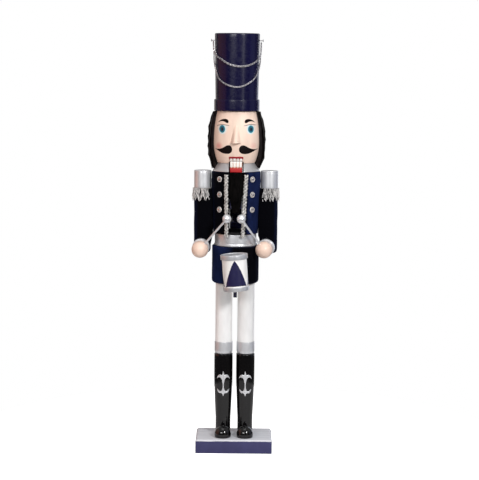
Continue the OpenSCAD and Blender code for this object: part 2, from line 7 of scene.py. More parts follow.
import random
from math import acos, asin, atan2, ceil, cos, degrees, dist, exp, pi, radians, sin, sqrt, tau

import bmesh
import bpy
from mathutils import Matrix, Vector, noise
from mathutils.geometry import delaunay_2d_cdt


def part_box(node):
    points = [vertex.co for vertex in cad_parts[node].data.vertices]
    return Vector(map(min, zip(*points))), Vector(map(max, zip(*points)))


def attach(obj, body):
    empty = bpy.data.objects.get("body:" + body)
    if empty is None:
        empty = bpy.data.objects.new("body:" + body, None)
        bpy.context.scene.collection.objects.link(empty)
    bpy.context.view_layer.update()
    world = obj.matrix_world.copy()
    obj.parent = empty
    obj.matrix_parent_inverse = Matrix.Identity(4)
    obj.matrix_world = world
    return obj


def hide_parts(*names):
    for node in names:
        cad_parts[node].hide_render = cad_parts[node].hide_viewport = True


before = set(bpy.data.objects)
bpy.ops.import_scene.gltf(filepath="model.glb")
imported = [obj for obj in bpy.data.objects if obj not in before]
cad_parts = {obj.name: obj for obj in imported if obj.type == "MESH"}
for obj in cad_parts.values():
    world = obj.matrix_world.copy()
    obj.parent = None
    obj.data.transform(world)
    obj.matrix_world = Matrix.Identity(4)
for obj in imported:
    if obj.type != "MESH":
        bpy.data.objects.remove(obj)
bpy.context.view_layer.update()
scene = bpy.context.scene
MM = 0.001
SIDES = {"left": -1, "right": 1}
UP = Vector((0, 0, 1))


def span(node):
    """The lowest and highest corner of a CAD node."""
    low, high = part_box(node)
    return Vector(low) / MM, Vector(high) / MM


# ---- sizes, taken from the CAD model where it has them ----

BASE_LOW, BASE_HIGH = span("base_block")
BASE_TOP = BASE_HIGH.z
BASE_BEVEL = 2.5
TABLE_R = 430

BOOT_LOW, BOOT_HIGH = span("boot_right")
LEG_X = (BOOT_LOW.x + BOOT_HIGH.x) / 2
BOOT_TOP = BOOT_HIGH.z
CALF_R = BOOT_HIGH.y
ANKLE_R = 11
TOE_FRONT = span("toe_cap_right")[0].y
TOE_R = 12
TOE_RISE = 1.1
CUFF_R = span("boot_cuff_right")[1].y
CUFF_TOP = span("boot_cuff_right")[1].z
TROUSER_R = span("trouser_leg_right")[1].y
SPIGOT_R = 9.5

SKIRT_LOW, SKIRT_HIGH = span("skirt_cloth")
SKIRT_R = SKIRT_HIGH.x
BELT_LOW, BELT_HIGH = span("belt")
BELT_R = 30.1
COAT_LOW, COAT_HIGH = span("coat_cloth_right")
COAT_TOP_R = COAT_HIGH.x
COAT_LOW_R = 32.2
CLOTH = 0.7
SHOULDER_Z = 355
SLOT_X = 10.5
COLLAR_LOW, COLLAR_HIGH = span("collar_right")

HEAD_LOW, HEAD_HIGH = span("head")
HEAD_R = HEAD_HIGH.x
HEAD_TOP_R = 27.7
HEAD_LOW_R = 27
HEAD_MID_Z = 446
NOTCH_TOP = 419.2
HAIR_LOW, HAIR_HIGH = span("hair")
BAND_LOW, BAND_HIGH = span("hat_band")
BAND_R = BAND_HIGH.x
CROWN_HIGH = span("hat_crown")[1]
CROWN_TOP_R = CROWN_HIGH.x
CROWN_LOW_R = 30.4

ARM_X = 47.9
SLEEVE_R = 12.5
CAP_LOW, CAP_HIGH = span("epaulette_right")
ELBOW_Z = 298
TORSO_CLEAR_X = 35
FOREARM_TURN = {"left": -6, "right": -16}
FOREARM_SLOPE = 10
WRIST_AT = 12
HAND_AT = 27
HAND_R = 12
BALL_R = 6.4
STICK_ENDS = {"left": Vector((-12.5, -47, 339.5)), "right": Vector((8, -47, 339.5))}
SLEEVE_TOP = 386
SLEEVE_INNER_R = 33
SLEEVE_INNER_X = 31.5

DRUM_MIDDLE = Vector((0, -53.4, 264.5))
DRUM_ROLL = 4.5
DRUM_H = 51.5
DRUM_R = 17.5
RIM_R = 19.4

JAW_LOW, JAW_HIGH = span("jaw_lever")
JAW_FRONT = JAW_LOW.y
JAW_TOP = JAW_HIGH.z
JAW_HALF = 8.8
LEVER_HALF = 2.7
TAPER_HIGH, TAPER_LOW = 310, 240
BEARD_LOW, BEARD_HIGH = span("beard")

# The chains' routes, as the CAD model has them, from the left nail to the right one.
CHAIN_UPPER = [(-34, -2, 588.6), (-34, -3, 584), (-33.6, -5, 579), (-32.6, -8, 574.5),
    (-29.8, -15, 569), (-26.6, -20, 566), (-22.5, -24.5, 563.5), (-17.5, -28.3, 560),
    (-11.8, -31.1, 556.8), (-5, -32.9, 554.5), (2.8, -33.2, 553.4), (9, -32, 553.6),
    (14.6, -29.9, 554.4), (20.5, -26.2, 556.6), (26.4, -20.3, 560), (30.4, -13.8, 564),
    (33, -7, 569.5), (33.8, -4, 576), (34, -3, 583), (34, -2, 588.6)]
CHAIN_LOWER = [(-34, 2, 588.6), (-33.8, 2.4, 582), (-33.4, 2.6, 575), (-33.1, 2, 567),
    (-32.7, -1.5, 559.5), (-31.2, -9.8, 552), (-29.2, -14.7, 544.5), (-25.8, -20, 536.5),
    (-20, -25.8, 531), (-11.8, -30.4, 526.8), (0, -32.5, 524.4), (11.8, -30.4, 527.2),
    (20.4, -25.4, 532.5), (25.4, -20.5, 537.6), (29, -15, 544), (31.2, -9.8, 551),
    (32.7, -1.5, 559), (33.1, 2, 567), (33.4, 2.6, 575), (33.8, 2.4, 582), (34, 2, 588.6)]


# ---- numbers and outlines ----

def ramp(value, start, length):
    """0 up to start, then rising to 1 over that length."""
    return min(max((value - start) / length, 0), 1)


def wobble(x, y, z):
    """Smooth noise between about -1 and 1."""
    return noise.noise(Vector((x, y, z)))


def turns(count):
    """That many angles, equally spaced round a circle."""
    return [tau * k / count for k in range(count)]


def line_length(line):
    return sum(dist(a, b) for a, b in zip(line, line[1:]))


def rounded(corners, closed=False, steps=4):
    """An outline of corners (across, up) or (across, up, radius), with those radii rounded."""
    outline = []
    for i, corner in enumerate(corners):
        here = Vector(corner[:2])
        ends = not closed and i in (0, len(corners) - 1)
        if ends or len(corner) < 3:
            outline.append(tuple(here))
            continue
        back = Vector(corners[i - 1][:2]) - here
        ahead = Vector(corners[(i + 1) % len(corners)][:2]) - here
        reach = min(corner[2], back.length / 2, ahead.length / 2)
        start = here + back.normalized() * reach
        stop = here + ahead.normalized() * reach
        for k in range(steps + 1):
            t = k / steps
            outline.append(tuple(start * (1 - t) ** 2 + here * 2 * t * (1 - t) + stop * t * t))
    return outline


def divided(outline, step):
    """The outline with points added, so that neighbours are no further apart than step."""
    result = [outline[0]]
    for a, b in zip(outline, outline[1:]):
        count = max(1, ceil(dist(a, b) / step))
        for k in range(1, count + 1):
            result.append(tuple(p + (q - p) * k / count for p, q in zip(a, b)))
    return result


def curve_through(points, per=8, closed=False):
    """A smooth line through given points. A point given twice is a sharp corner."""
    points = [Vector(p) for p in points]
    count = len(points)
    line = []
    for i in range(count if closed else count - 1):
        if closed:
            a, b, c, d = (points[(i + k) % count] for k in (-1, 0, 1, 2))
        else:
            a, b, c, d = (points[min(max(i + k, 0), count - 1)] for k in (-1, 0, 1, 2))
        if (c - b).length < 1e-6:
            continue
        for k in range(per):
            t = k / per
            line.append(0.5 * (2 * b + (c - a) * t + (2 * a - 5 * b + 4 * c - d) * t ** 2
                + (3 * b - a - 3 * c + d) * t ** 3))
    if not closed:
        line.append(points[-1])
    return line


def spaced(line, step):
    """Points along a line, a step apart."""
    result = [line[0]]
    left = step
    for a, b in zip(line, line[1:]):
        length = (b - a).length
        done = 0
        while length - done >= left:
            done += left
            result.append(a + (b - a) * (done / length))
            left = step
        left -= length - done
    return result


def mirrored(half):
    """A closed outline from its right half, which runs from top to bottom."""
    return half + [(-x, z) for x, z in half[::-1]]


def oval(x, z, across, up):
    """The corners of an oval outline."""
    return [(x + across * cos(a), z + up * sin(a)) for a in turns(14)]


# ---- shapes, as (points, faces) ----

def revolve(outline, centre=(0, 0), segments=96, closed=False):
    """An outline of (radius, height) turned about an upright axis."""
    points, faces, rings = [], [], []
    for r, z in outline:
        count = segments if r > 1e-6 else 1
        rings.append([len(points) + k for k in range(count)])
        for a in turns(segments)[:count]:
            points.append((centre[0] + r * cos(a), centre[1] + r * sin(a), z))
    for low, high in zip(rings, rings[1:] + rings[:1] if closed else rings[1:]):
        for k in range(segments):
            corners = [low[k % len(low)], low[(k + 1) % segments % len(low)],
                high[(k + 1) % segments % len(high)], high[k % len(high)]]
            face = list(dict.fromkeys(corners))
            if len(face) > 2:
                faces.append(face)
    return points, faces


def grid(rows, round_it=False):
    """Faces between rows of points. round_it joins the end of each row to its start."""
    width = len(rows[0])
    points = [p for row in rows for p in row]
    faces = []
    for i in range(len(rows) - 1):
        for k in range(width if round_it else width - 1):
            n = (k + 1) % width
            faces.append([i * width + k, i * width + n, (i + 1) * width + n, (i + 1) * width + k])
    return points, faces


def tube(route, radius, sides=6):
    """A round tube along a route. radius is a number, or gives one for a share of the way."""
    last = len(route) - 1
    rows, out = [], None
    for i, point in enumerate(route):
        ahead = (route[min(i + 1, last)] - route[max(i - 1, 0)]).normalized()
        out = ahead.orthogonal() if out is None else out - ahead * out.dot(ahead)
        out.normalize()
        across = ahead.cross(out)
        r = radius(i / last) if callable(radius) else radius
        rows.append([point + (out * cos(a) + across * sin(a)) * r for a in turns(sides)])
    points, faces = grid(rows, round_it=True)
    faces.append(list(range(sides))[::-1])
    faces.append([last * sides + k for k in range(sides)])
    return points, faces


def link(centre, along, side, length, width, wire, steps=12, sides=6):
    """A closed chain link: an oval of wire in the plane of along and side."""
    up = along.cross(side)
    rows = []
    for i in range(steps + 1):
        t = tau * i / steps
        out = along * cos(t) + side * sin(t)
        middle = centre + along * (length / 2 * cos(t)) + side * (width / 2 * sin(t))
        rows.append([middle + (out * cos(a) - up * sin(a)) * wire for a in turns(sides)])
    return grid(rows, round_it=True)


def joined(shapes):
    """Several (points, faces) as one."""
    points, faces = [], []
    for more, these in shapes:
        start = len(points)
        points.extend(more)
        faces.extend([start + k for k in face] for face in these)
    return points, faces


def moved(shape, matrix):
    return [matrix @ Vector(p) for p in shape[0]], shape[1]


def along(start, way):
    """The matrix that stands an upright piece on a point, along a direction."""
    return Matrix.Translation(start) @ way.to_track_quat("Z", "Y").to_matrix().to_4x4()


def turned_ball(radius, centre, way, flat):
    """A ball turned on a lathe: it has a small flat where it meets its stem."""
    outline = [(0, -radius + flat)]
    first = acos(1 - flat / radius)
    for k in range(25):
        a = first + (pi - first) * k / 24
        outline.append((radius * sin(a) if k < 24 else 0, -radius * cos(a)))
    return moved(revolve(outline, segments=56), along(centre, way))


# ---- shapes, as bmeshes ----

def as_bmesh(shape):
    """A bmesh from (points, faces)."""
    bm = bmesh.new()
    verts = [bm.verts.new(p) for p in shape[0]]
    for face in shape[1]:
        bm.faces.new([verts[k] for k in face])
    bmesh.ops.remove_doubles(bm, verts=bm.verts[:], dist=1e-4)
    return bm


def points_of(bm):
    """(points, faces) from a bmesh."""
    bm.verts.index_update()
    shape = ([v.co.copy() for v in bm.verts], [[v.index for v in f.verts] for f in bm.faces])
    bm.free()
    return shape


def block(size, middle):
    bm = bmesh.new()
    bmesh.ops.create_cube(bm, size=1)
    for v in bm.verts:
        v.co = Vector(c * s for c, s in zip(v.co, size)) + Vector(middle)
    return bm


def board(side_view, start, stop):
    """A board with an outline of (y, z), from one x to another."""
    bm = bmesh.new()
    face = bm.faces.new([bm.verts.new((start, y, z)) for y, z in side_view])
    for v in bmesh.ops.extrude_face_region(bm, geom=[face])["geom"]:
        if isinstance(v, bmesh.types.BMVert):
            v.co.x = stop
    return bm


def face_out(bm):
    bmesh.ops.recalc_face_normals(bm, faces=bm.faces[:])
    return bm


def cut_at(bm, point, normal, clear=True):
    """Cuts along a plane, and clears what lies beyond it. Gives the edges of the cut."""
    cut = bmesh.ops.bisect_plane(bm, geom=bm.verts[:] + bm.edges[:] + bm.faces[:],
        plane_co=point, plane_no=normal, clear_outer=clear)["geom_cut"]
    return [e for e in cut if isinstance(e, bmesh.types.BMEdge)]


def slice_off(bm, point, outward):
    """Cuts off what lies beyond a plane, and closes the cut."""
    edges = cut_at(bm, point, outward)
    bmesh.ops.triangle_fill(bm, edges=edges, use_beauty=True, use_dissolve=True)


def soften_edges(bm, offset, segments=2, above=30):
    """Rounds every edge that is sharper than an angle in degrees."""
    edges = [e for e in bm.edges if e.is_manifold and e.calc_face_angle() > radians(above)]
    bmesh.ops.bevel(bm, geom=edges, offset=offset, segments=segments, profile=0.5,
        affect="EDGES", clamp_overlap=True)


def paint_patch(outline, place, lift=0.12, bulge=0.0, step=1.0, edge=1.0):
    """A raised coat of paint with an outline of (across, up), laid on by place().

    It stands lift above the surface, and bulge more where it is edge or further from its rim.
    """
    rim = [Vector(p[:2]) for p in outline]
    count = len(rim)
    low = Vector(min(p[axis] for p in rim) for axis in (0, 1))
    size = Vector(max(p[axis] for p in rim) for axis in (0, 1)) - low
    inner = [low + Vector((i * step, k * step)) for i in range(1, int(size.x / step) + 1)
        for k in range(1, int(size.y / step) + 1)]
    inner = [p for p in inner if min((p - r).length for r in rim) > 0.3 * step]
    borders = [(i, (i + 1) % count) for i in range(count)]
    flat, _, faces = delaunay_2d_cdt(rim + inner, borders, [], 1, 1e-5)[:3]
    bm = bmesh.new()
    corners = {}
    for k in sorted({k for face in faces for k in face}):
        inside = min((flat[k] - p).length for p in rim) / edge
        height = lift + bulge * sin(min(inside, 1) * pi / 2)
        corners[k] = bm.verts.new((flat[k].x, flat[k].y, height))
    for face in faces:
        bm.faces.new([corners[k] for k in face])
    rim_edges = [e for e in bm.edges if e.is_boundary]
    skirt = bmesh.ops.extrude_edge_only(bm, edges=rim_edges)["geom"]
    for v in skirt:
        if isinstance(v, bmesh.types.BMVert):
            v.co.z = -0.25
    for v in bm.verts:
        v.co = place(v.co.x, v.co.y, v.co.z)
    return face_out(bm)


def on_round(radius_at, centre=(0, 0)):
    """place() for paint_patch(), on the front of an upright round piece."""
    def place(across, up, lift):
        r = radius_at(up)
        angle = asin(max(-1, min(1, across / r)))
        return Vector((centre[0] + (r + lift) * sin(angle),
            centre[1] - (r + lift) * cos(angle), up))
    return place


def on_jaw(across, up, lift):
    """place() for paint_patch(), on the flat front of the jaw."""
    return Vector((across, JAW_FRONT - lift, up))


def on_drum(across, up, lift):
    """place() for paint_patch(), on the drum before it is rolled. across is measured round it."""
    angle = across / DRUM_R
    return Vector(((DRUM_R + lift) * sin(angle), -(DRUM_R + lift) * cos(angle), up))


# ---- how far turned pieces stand from their axis at a height ----

def head_radius(z):
    if z > HEAD_MID_Z:
        share = (z - HEAD_MID_Z) / (HEAD_HIGH.z - HEAD_MID_Z)
        return HEAD_R - (HEAD_R - HEAD_TOP_R) * share ** 2.1
    share = (HEAD_MID_Z - z) / (HEAD_MID_Z - HEAD_LOW.z)
    return HEAD_R - (HEAD_R - HEAD_LOW_R) * min(share, 1) ** 2.1


def boot_radius(z):
    share = (z - BASE_TOP) / (BOOT_TOP - BASE_TOP)
    return ANKLE_R + (CALF_R - ANKLE_R) * sin(pi / 2 * ramp(share, 0.2, 0.6))


def coat_radius(z):
    share = (z - COAT_LOW.z) / (COAT_HIGH.z - 3 - COAT_LOW.z)
    return COAT_LOW_R + (COAT_TOP_R - COAT_LOW_R) * share


# ---- pieces ----

def add_object(name, data):
    obj = bpy.data.objects.new(name, data)
    scene.collection.objects.link(obj)
    return obj


def piece(name, shape, look, node=None, sharp=32, body="figure"):
    """A visible piece that rides on a body. It may stand for a CAD node."""
    mesh = bpy.data.meshes.new(name)
    if isinstance(shape, bmesh.types.BMesh):
        shape.to_mesh(mesh)
        shape.free()
    else:
        mesh.from_pydata(shape[0], [], shape[1])
    mesh.transform(Matrix.Scale(MM, 4))
    mesh.materials.append(look.material)
    mesh.shade_smooth()
    mesh.set_sharp_from_angle(angle=radians(sharp))
    obj = add_object(name, mesh)
    if node:
        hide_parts(node)
    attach(obj, body)
    return obj


def dress(node, look):
    """Gives a CAD node that stays in view, or lies hidden inside, its detailed material."""
    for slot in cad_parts[node].material_slots:
        slot.material = look.material


def applied(obj):
    """Replaces an object's mesh by what its modifiers make of it."""
    bpy.context.view_layer.update()
    mesh = bpy.data.meshes.new_from_object(obj.evaluated_get(
        bpy.context.evaluated_depsgraph_get()))
    obj.modifiers.clear()
    obj.data = mesh


# ---- materials ----

def rgb(red, green, blue):
    """A colour given as it looks on a screen, from 0 to 255."""
    def linear(c):
        c /= 255
        return c / 12.92 if c <= 0.04045 else ((c + 0.055) / 1.055) ** 2.4
    return (linear(red), linear(green), linear(blue), 1)


class Tree:
    """The nodes of a material or a world."""

    def __init__(self, owner):
        owner.use_nodes = True
        self.nodes = owner.node_tree.nodes
        self.links = owner.node_tree.links

    def feed(self, socket, value):
        if isinstance(value, bpy.types.NodeSocket):
            self.links.new(value, socket)
        else:
            socket.default_value = value

    def add(self, kind, inputs=None, **settings):
        node = self.nodes.new("ShaderNode" + kind)
        for key, value in settings.items():
            setattr(node, key, value)
        for key, value in (inputs or {}).items():
            self.feed(node.inputs[key], value)
        return node


class Look(Tree):
    """A material: its Principled shader, the nodes that feed it, and its slot in the record."""

    def __init__(self, name, slot, **sockets):
        self.slot = slot
        self.material = bpy.data.materials.new(name)
        super().__init__(self.material)
        self.shader = self.nodes["Principled BSDF"]
        self.place = self.add("TexCoord").outputs["Object"]
        self.normal = None
        for key, value in sockets.items():
            self.set(key, value)

    def set(self, key, value):
        """Sets or links the Principled socket with that name."""
        wanted = key.replace("_", " ")
        self.feed(next(s for s in self.shader.inputs if s.name.lower() == wanted), value)

    def axis(self, index):
        """The X, Y or Z coordinate, in metres."""
        return self.add("SeparateXYZ", {0: self.place}).outputs[index]

    def math(self, operation, a, b=0.0):
        return self.add("Math", {0: a, 1: b}, operation=operation).outputs[0]

    def scaled(self, size, stretch):
        scale = [1 / (size * MM * s) for s in stretch]
        return self.add("Mapping", {"Vector": self.place, "Scale": scale}).outputs[0]

    def speckle(self, size, stretch=(1, 1, 1), detail=3):
        """Noise with features of that size, drawn out along an axis by stretch."""
        vector = self.scaled(size, stretch)
        return self.add("TexNoise", {"Vector": vector, "Scale": 1, "Detail": detail}).outputs[0]

    def level(self, value, low, high, of=(0.3, 0.7)):
        """A value of that range, stretched to run from low to high."""
        return self.add("MapRange", {"Value": value, "From Min": of[0], "From Max": of[1],
            "To Min": low, "To Max": high}).outputs[0]

    def drift(self, size, low, high, stretch=(1, 1, 1), detail=3):
        """A colour that wanders between two, in patches of that size."""
        return self.mix(self.level(self.speckle(size, stretch, detail), 0, 1), low, high)

    def mix(self, share, low, high):
        """A colour between two."""
        node = self.add("Mix", data_type="RGBA")
        for index, value in ((0, share), (6, low), (7, high)):
            self.feed(node.inputs[index], value)
        return node.outputs[2]

    def bump(self, height, depth, strength=1.0):
        """Relief of that depth, on top of any relief so far."""
        inputs = {"Height": height, "Distance": depth * MM, "Strength": strength}
        if self.normal:
            inputs["Normal"] = self.normal
        self.normal = self.add("Bump", inputs).outputs[0]
        self.set("normal", self.normal)

    def near(self, centre, radii):
        """Distance from a centre, counted in radii: 1 on the ellipsoid with those radii."""
        moved = self.add("VectorMath", {0: self.place,
            1: [c * MM for c in centre]}, operation="SUBTRACT").outputs[0]
        sized = self.add("VectorMath", {0: moved,
            1: [r * MM for r in radii]}, operation="DIVIDE").outputs[0]
        return self.add("VectorMath", {0: sized}, operation="LENGTH").outputs["Value"]


def shaded(colour, factor):
    return tuple(c * factor for c in colour[:3]) + (1,)


def enamel(name, slot, colour, roughness, coat, coat_roughness=0.1, grain=0.012, shine=0.5):
    """Brushed-on gloss paint: a little orange peel, and wood grain that shows through."""
    look = Look(name, slot, coat_weight=coat, coat_roughness=coat_roughness,
        specular_ior_level=shine)
    look.base = look.drift(16, shaded(colour, 0.88), shaded(colour, 1.1), (1, 1, 3))
    look.set("base_color", look.base)
    look.set("roughness", look.level(look.speckle(5), roughness - 0.05, roughness + 0.08))
    look.bump(look.speckle(1.1, (1, 1, 14), 4), grain)
    look.bump(look.speckle(1.4, detail=2), 0.008)
    return look


def silver_paint(name, colour=(218, 219, 222), roughness=0.34, brushed=(1, 1, 12)):
    """Silver paint: fine flakes in brush strokes, thinner and darker in places."""
    look = Look(name, "silver_paint", metallic=0.6)
    stroke = look.speckle(0.8, brushed, 4)
    patchy = look.level(look.speckle(9, (1, 1, 2)), 0, 1)
    flakes = look.add("TexVoronoi", {"Vector": look.scaled(0.28, (1, 1, 1)), "Scale": 1}
        ).outputs["Color"]
    glint = look.level(look.add("SeparateColor", {0: flakes}).outputs[0], 0, 1, (0, 1))
    colour = rgb(*colour)
    worn = look.mix(patchy, shaded(colour, 0.86), colour)
    lit = look.mix(look.level(glint, 0, 0.35, (0.2, 1)), worn, shaded(colour, 1.25))
    look.set("base_color", lit)
    look.set("roughness", look.level(stroke, roughness - 0.05, roughness + 0.12))
    look.bump(stroke, 0.03)
    look.bump(glint, 0.01, 0.6)
    return look


def velvet(name, dark_x, navy_x):
    """Short-pile velvet. Towards navy_x its colour turns from near-black to navy: a painted sheen,
    for the side where the pile catches the light.
    """
    look = Look(name, "coat_velvet", sheen_weight=0.2, sheen_roughness=0.35,
        sheen_tint=rgb(70, 84, 150), specular_ior_level=0.05, roughness=0.9)
    brushed = look.speckle(7, (1, 1, 2.2), 4)
    pile = look.speckle(0.35, detail=4)
    # Painted sheen: navy is painted in from dark_x to navy_x, broken into patches by the brushed
    # noise.
    across = look.level(look.axis(0), 0, 1, (dark_x * MM, navy_x * MM))
    share = look.math("MULTIPLY", across, look.level(brushed, 0.55, 1.15))
    painted_sheen = look.mix(share, rgb(3, 3, 7), rgb(23, 34, 72))
    fine = look.mix(look.level(pile, 0.25, 0.0), painted_sheen, rgb(0, 0, 2))
    look.set("base_color", fine)
    look.bump(pile, 0.12, 0.8)
    look.bump(brushed, 0.25, 0.4)
    return look


def fibre(name, slot, dark, light, roughness=0.42, metallic=0.0, gloss=0.45, lock=2.2):
    """Hair, fur or thread: its colour changes from lock to lock and along each one."""
    look = Look(name, slot, metallic=metallic, specular_ior_level=gloss)
    look.set("base_color", look.drift(lock, dark, light, (1, 1, 6)))
    look.set("roughness", look.level(look.speckle(1.2), roughness - 0.08, roughness + 0.12))
    look.bump(look.speckle(0.25, (1, 1, 8)), 0.04)
    return look


def metal(name, slot, colour, roughness, scratch=0.006):
    """Bare metal with fine scratches and a little tarnish."""
    look = Look(name, slot, metallic=1.0)
    look.set("base_color", look.drift(1.6, shaded(rgb(*colour), 0.6), rgb(*colour)))
    look.set("roughness", look.level(look.speckle(0.6), roughness - 0.06, roughness + 0.12))
    look.bump(look.speckle(0.3, (6, 1, 1)), scratch)
    return look


def timber(name, pale=(206, 172, 124), dark=(160, 116, 72)):
    """Turned softwood with growth rings and pores."""
    look = Look(name, "bare_wood", roughness=0.6, specular_ior_level=0.3)
    cloudy = look.speckle(14, (1, 1, 7))
    rings = look.add("TexWave", {"Vector": look.scaled(5, (1, 1, 9)), "Scale": 1,
        "Distortion": 3, "Detail": 2}, wave_type="RINGS", rings_direction="Z").outputs["Fac"]
    share = look.math("MULTIPLY", rings, look.level(cloudy, 0.4, 1))
    look.set("base_color", look.mix(share, rgb(*pale), rgb(*dark)))
    look.bump(look.speckle(0.5, (1, 1, 20), 4), 0.05)
    return look


# ---- camera, light and surroundings ----

def make_camera():
    """It looks slightly down from the height of the hat, from about 2.3 m away."""
    look_down, roll = 6.48, 0.55
    camera = add_object("camera", bpy.data.cameras.new("camera"))
    camera.data.lens, camera.data.sensor_width = 118.4, 36
    camera.location = (0.0057, -2.263, 0.5614)
    tilt = Matrix.Rotation(radians(90 - look_down), 3, "X")
    camera.rotation_euler = (tilt @ Matrix.Rotation(radians(roll), 3, "Z")).to_euler()
    scene.camera = camera


def area_light(name, azimuth, height, distance, size, power, colour=(255, 255, 255)):
    """A soft box that faces the figure's middle. Azimuth 0 is in front, 90 on the +X side."""
    data = bpy.data.lights.new(name, "AREA")
    data.shape = "RECTANGLE"
    data.size, data.size_y = size
    data.energy = power
    data.color = rgb(*colour)[:3]
    obj = add_object(name, data)
    angle = radians(azimuth)
    obj.location = (distance * sin(angle), -distance * cos(angle), height)
    figure_middle = Vector((0, 0, 0.33))
    aim = figure_middle - obj.location
    obj.rotation_euler = aim.to_track_quat("-Z", "Y").to_euler()


def make_light():
    """Two raised soft boxes do most of the work. The strip is a streak in the gloss."""
    area_light("key_right", 29, 1.2, 1.9, (0.3, 0.3), 25)
    area_light("key_left", -20, 0.95, 2.1, (1.0, 0.4), 14)
    area_light("overhead", 0, 2.3, 0.7, (1.2, 1.2), 7)
    area_light("strip_right", 33, 0.75, 1.9, (0.3, 1.0), 1.8)
    area_light("side_left", -88, 0.6, 1.6, (1.7, 1.5), 4.4, (255, 165, 130))
    area_light("side_right", 86, 0.6, 1.6, (0.9, 1.5), 1.6, (205, 215, 255))
    area_light("rim_left", -145, 0.5, 1.7, (0.6, 1.4), 1.8, (255, 240, 230))
    area_light("rim_right", 148, 0.5, 1.7, (0.5, 1.4), 3.6, (232, 238, 255))


def make_surroundings():
    """A dim room with a pale ceiling, and a round table under the figure. Both look white."""
    white = (1, 1, 1, 1)
    scene.world = bpy.data.worlds.new("studio")
    room = Tree(scene.world)
    seen = room.add("Background", {"Color": white, "Strength": 1})
    way = room.add("TexCoord").outputs["Generated"]
    rise = room.add("MapRange", {"Value": room.add("SeparateXYZ", {0: way}).outputs[2],
        "From Min": 0.1, "From Max": 0.8, "To Min": 0.08, "To Max": 0.5})
    lit = room.nodes["Background"]
    room.feed(lit.inputs["Color"], white)
    room.feed(lit.inputs["Strength"], rise.outputs[0])
    camera_ray = room.add("LightPath").outputs["Is Camera Ray"]
    mixed = room.add("MixShader", {0: camera_ray, 1: lit.outputs[0], 2: seen.outputs[0]})
    room.feed(room.nodes["World Output"].inputs[0], mixed.outputs[0])
    scene.view_settings.view_transform = "Standard"

    points, faces = revolve([(0, 0), (TABLE_R, 0)], segments=64)
    table = bpy.data.meshes.new("table")
    table.from_pydata([[c * MM for c in p] for p in points], [], faces)
    floor = Look("table_white", "", roughness=0.75)
    floor.set("base_color", floor.drift(40, (0.76, 0.76, 0.77, 1), (0.8, 0.8, 0.8, 1)))
    floor.set("emission_color", white)
    floor.set("emission_strength", floor.add("LightPath").outputs["Is Camera Ray"])
    table.materials.append(floor.material)
    add_object("table", table)


# ---- chains ----

def make_chain(name, route, width, wire, pitch, look):
    """A curb chain: every link lies aslant, the other way to its neighbours."""
    line = curve_through(route, per=12)
    stops = spaced(line, pitch)
    shapes = []
    for i, (a, b) in enumerate(zip(stops, stops[1:])):
        middle, along = (a + b) / 2, (b - a).normalized()
        outward = Vector((middle.x, middle.y, 0)).normalized()
        flat = along.cross(outward).normalized()
        turn = radians(34 if i % 2 else -34)
        side = flat * cos(turn) + along.cross(flat) * sin(turn)
        shapes.append(link(middle, along, side, pitch + 1.6 * wire, width - 2 * wire, wire))
    obj = piece(f"hat_{name}", joined(shapes), look, name)
    length = line_length(line) * MM


NAIL_ROOT_X = 26.5


def make_chains():
    look = metal("chain_steel", "chain_metal", (214, 211, 214), 0.34)
    make_chain("chain_upper", CHAIN_UPPER, 3.0, 0.5, 2.5, look)
    make_chain("chain_lower", CHAIN_LOWER, 2.6, 0.45, 2.1, look)
    shapes = []
    low, high = span("chain_nails")
    middle = (low + high) / 2
    profile = rounded([(0, 0), (0.7, 0), (0.7, 9.9), (2.0, 9.9, 0.3), (1.9, 10.6, 0.6), (0, 11)])
    for side in SIDES.values():
        points, faces = revolve(profile, segments=24)
        turned = [(side * (NAIL_ROOT_X + z), middle.y + side * y, middle.z - x)
            for x, y, z in points]
        shapes.append((turned, faces if side > 0 else [f[::-1] for f in faces]))
    piece("hat_nails", face_out(as_bmesh(joined(shapes))), look, "chain_nails")


# ---- base, boots and legs ----

def make_base():
    """A block with a silver top and bevel over violet-blue sides. The paint line wavers."""
    sides = rgb(52, 51, 90)
    look = enamel("base_paint", "base_enamel", sides, 0.5, 0.15, grain=0.02, shine=0.25)
    waver = look.level(look.speckle(12, detail=4), -0.35 * MM, 0.35 * MM)
    height = look.math("ADD", look.axis(2), waver)
    line = (BASE_TOP - BASE_BEVEL + 0.3) * MM
    is_top = look.level(height, 0, 1, (line - 0.15 * MM, line + 0.15 * MM))
    silver = look.drift(3, rgb(194, 195, 201), rgb(213, 214, 219), (9, 1, 1), 4)
    look.set("base_color", look.mix(is_top, look.base, silver))
    middle = (BASE_HIGH + BASE_LOW) / 2
    bm = block(BASE_HIGH - BASE_LOW, middle)
    upper = [e for e in bm.edges if all(v.co.z > middle.z for v in e.verts)]
    bmesh.ops.bevel(bm, geom=upper, offset=BASE_BEVEL, segments=1, affect="EDGES")
    soften_edges(bm, 0.7, segments=3)
    piece("base", bm, look, "base_block")


# Right half of the painted ornament on each boot, from its top spike to its bottom one.
ORNAMENT = mirrored([(0, 114.9), (0.8, 111.6), (1.8, 108.9), (4.6, 109.4), (7.4, 107.6),
    (9.2, 103.1), (9.2, 103.1), (6.8, 105.2), (4.2, 105.0), (2.2, 102.4), (1.4, 99), (0.75, 95.5),
    (0.8, 91.5), (1.7, 87.2), (3.4, 85.0), (5.6, 85.4), (8.6, 88.2), (8.6, 88.2), (7.6, 84.2),
    (5.4, 82.0), (3.0, 82.1), (1.2, 80.6), (0, 77.2)])


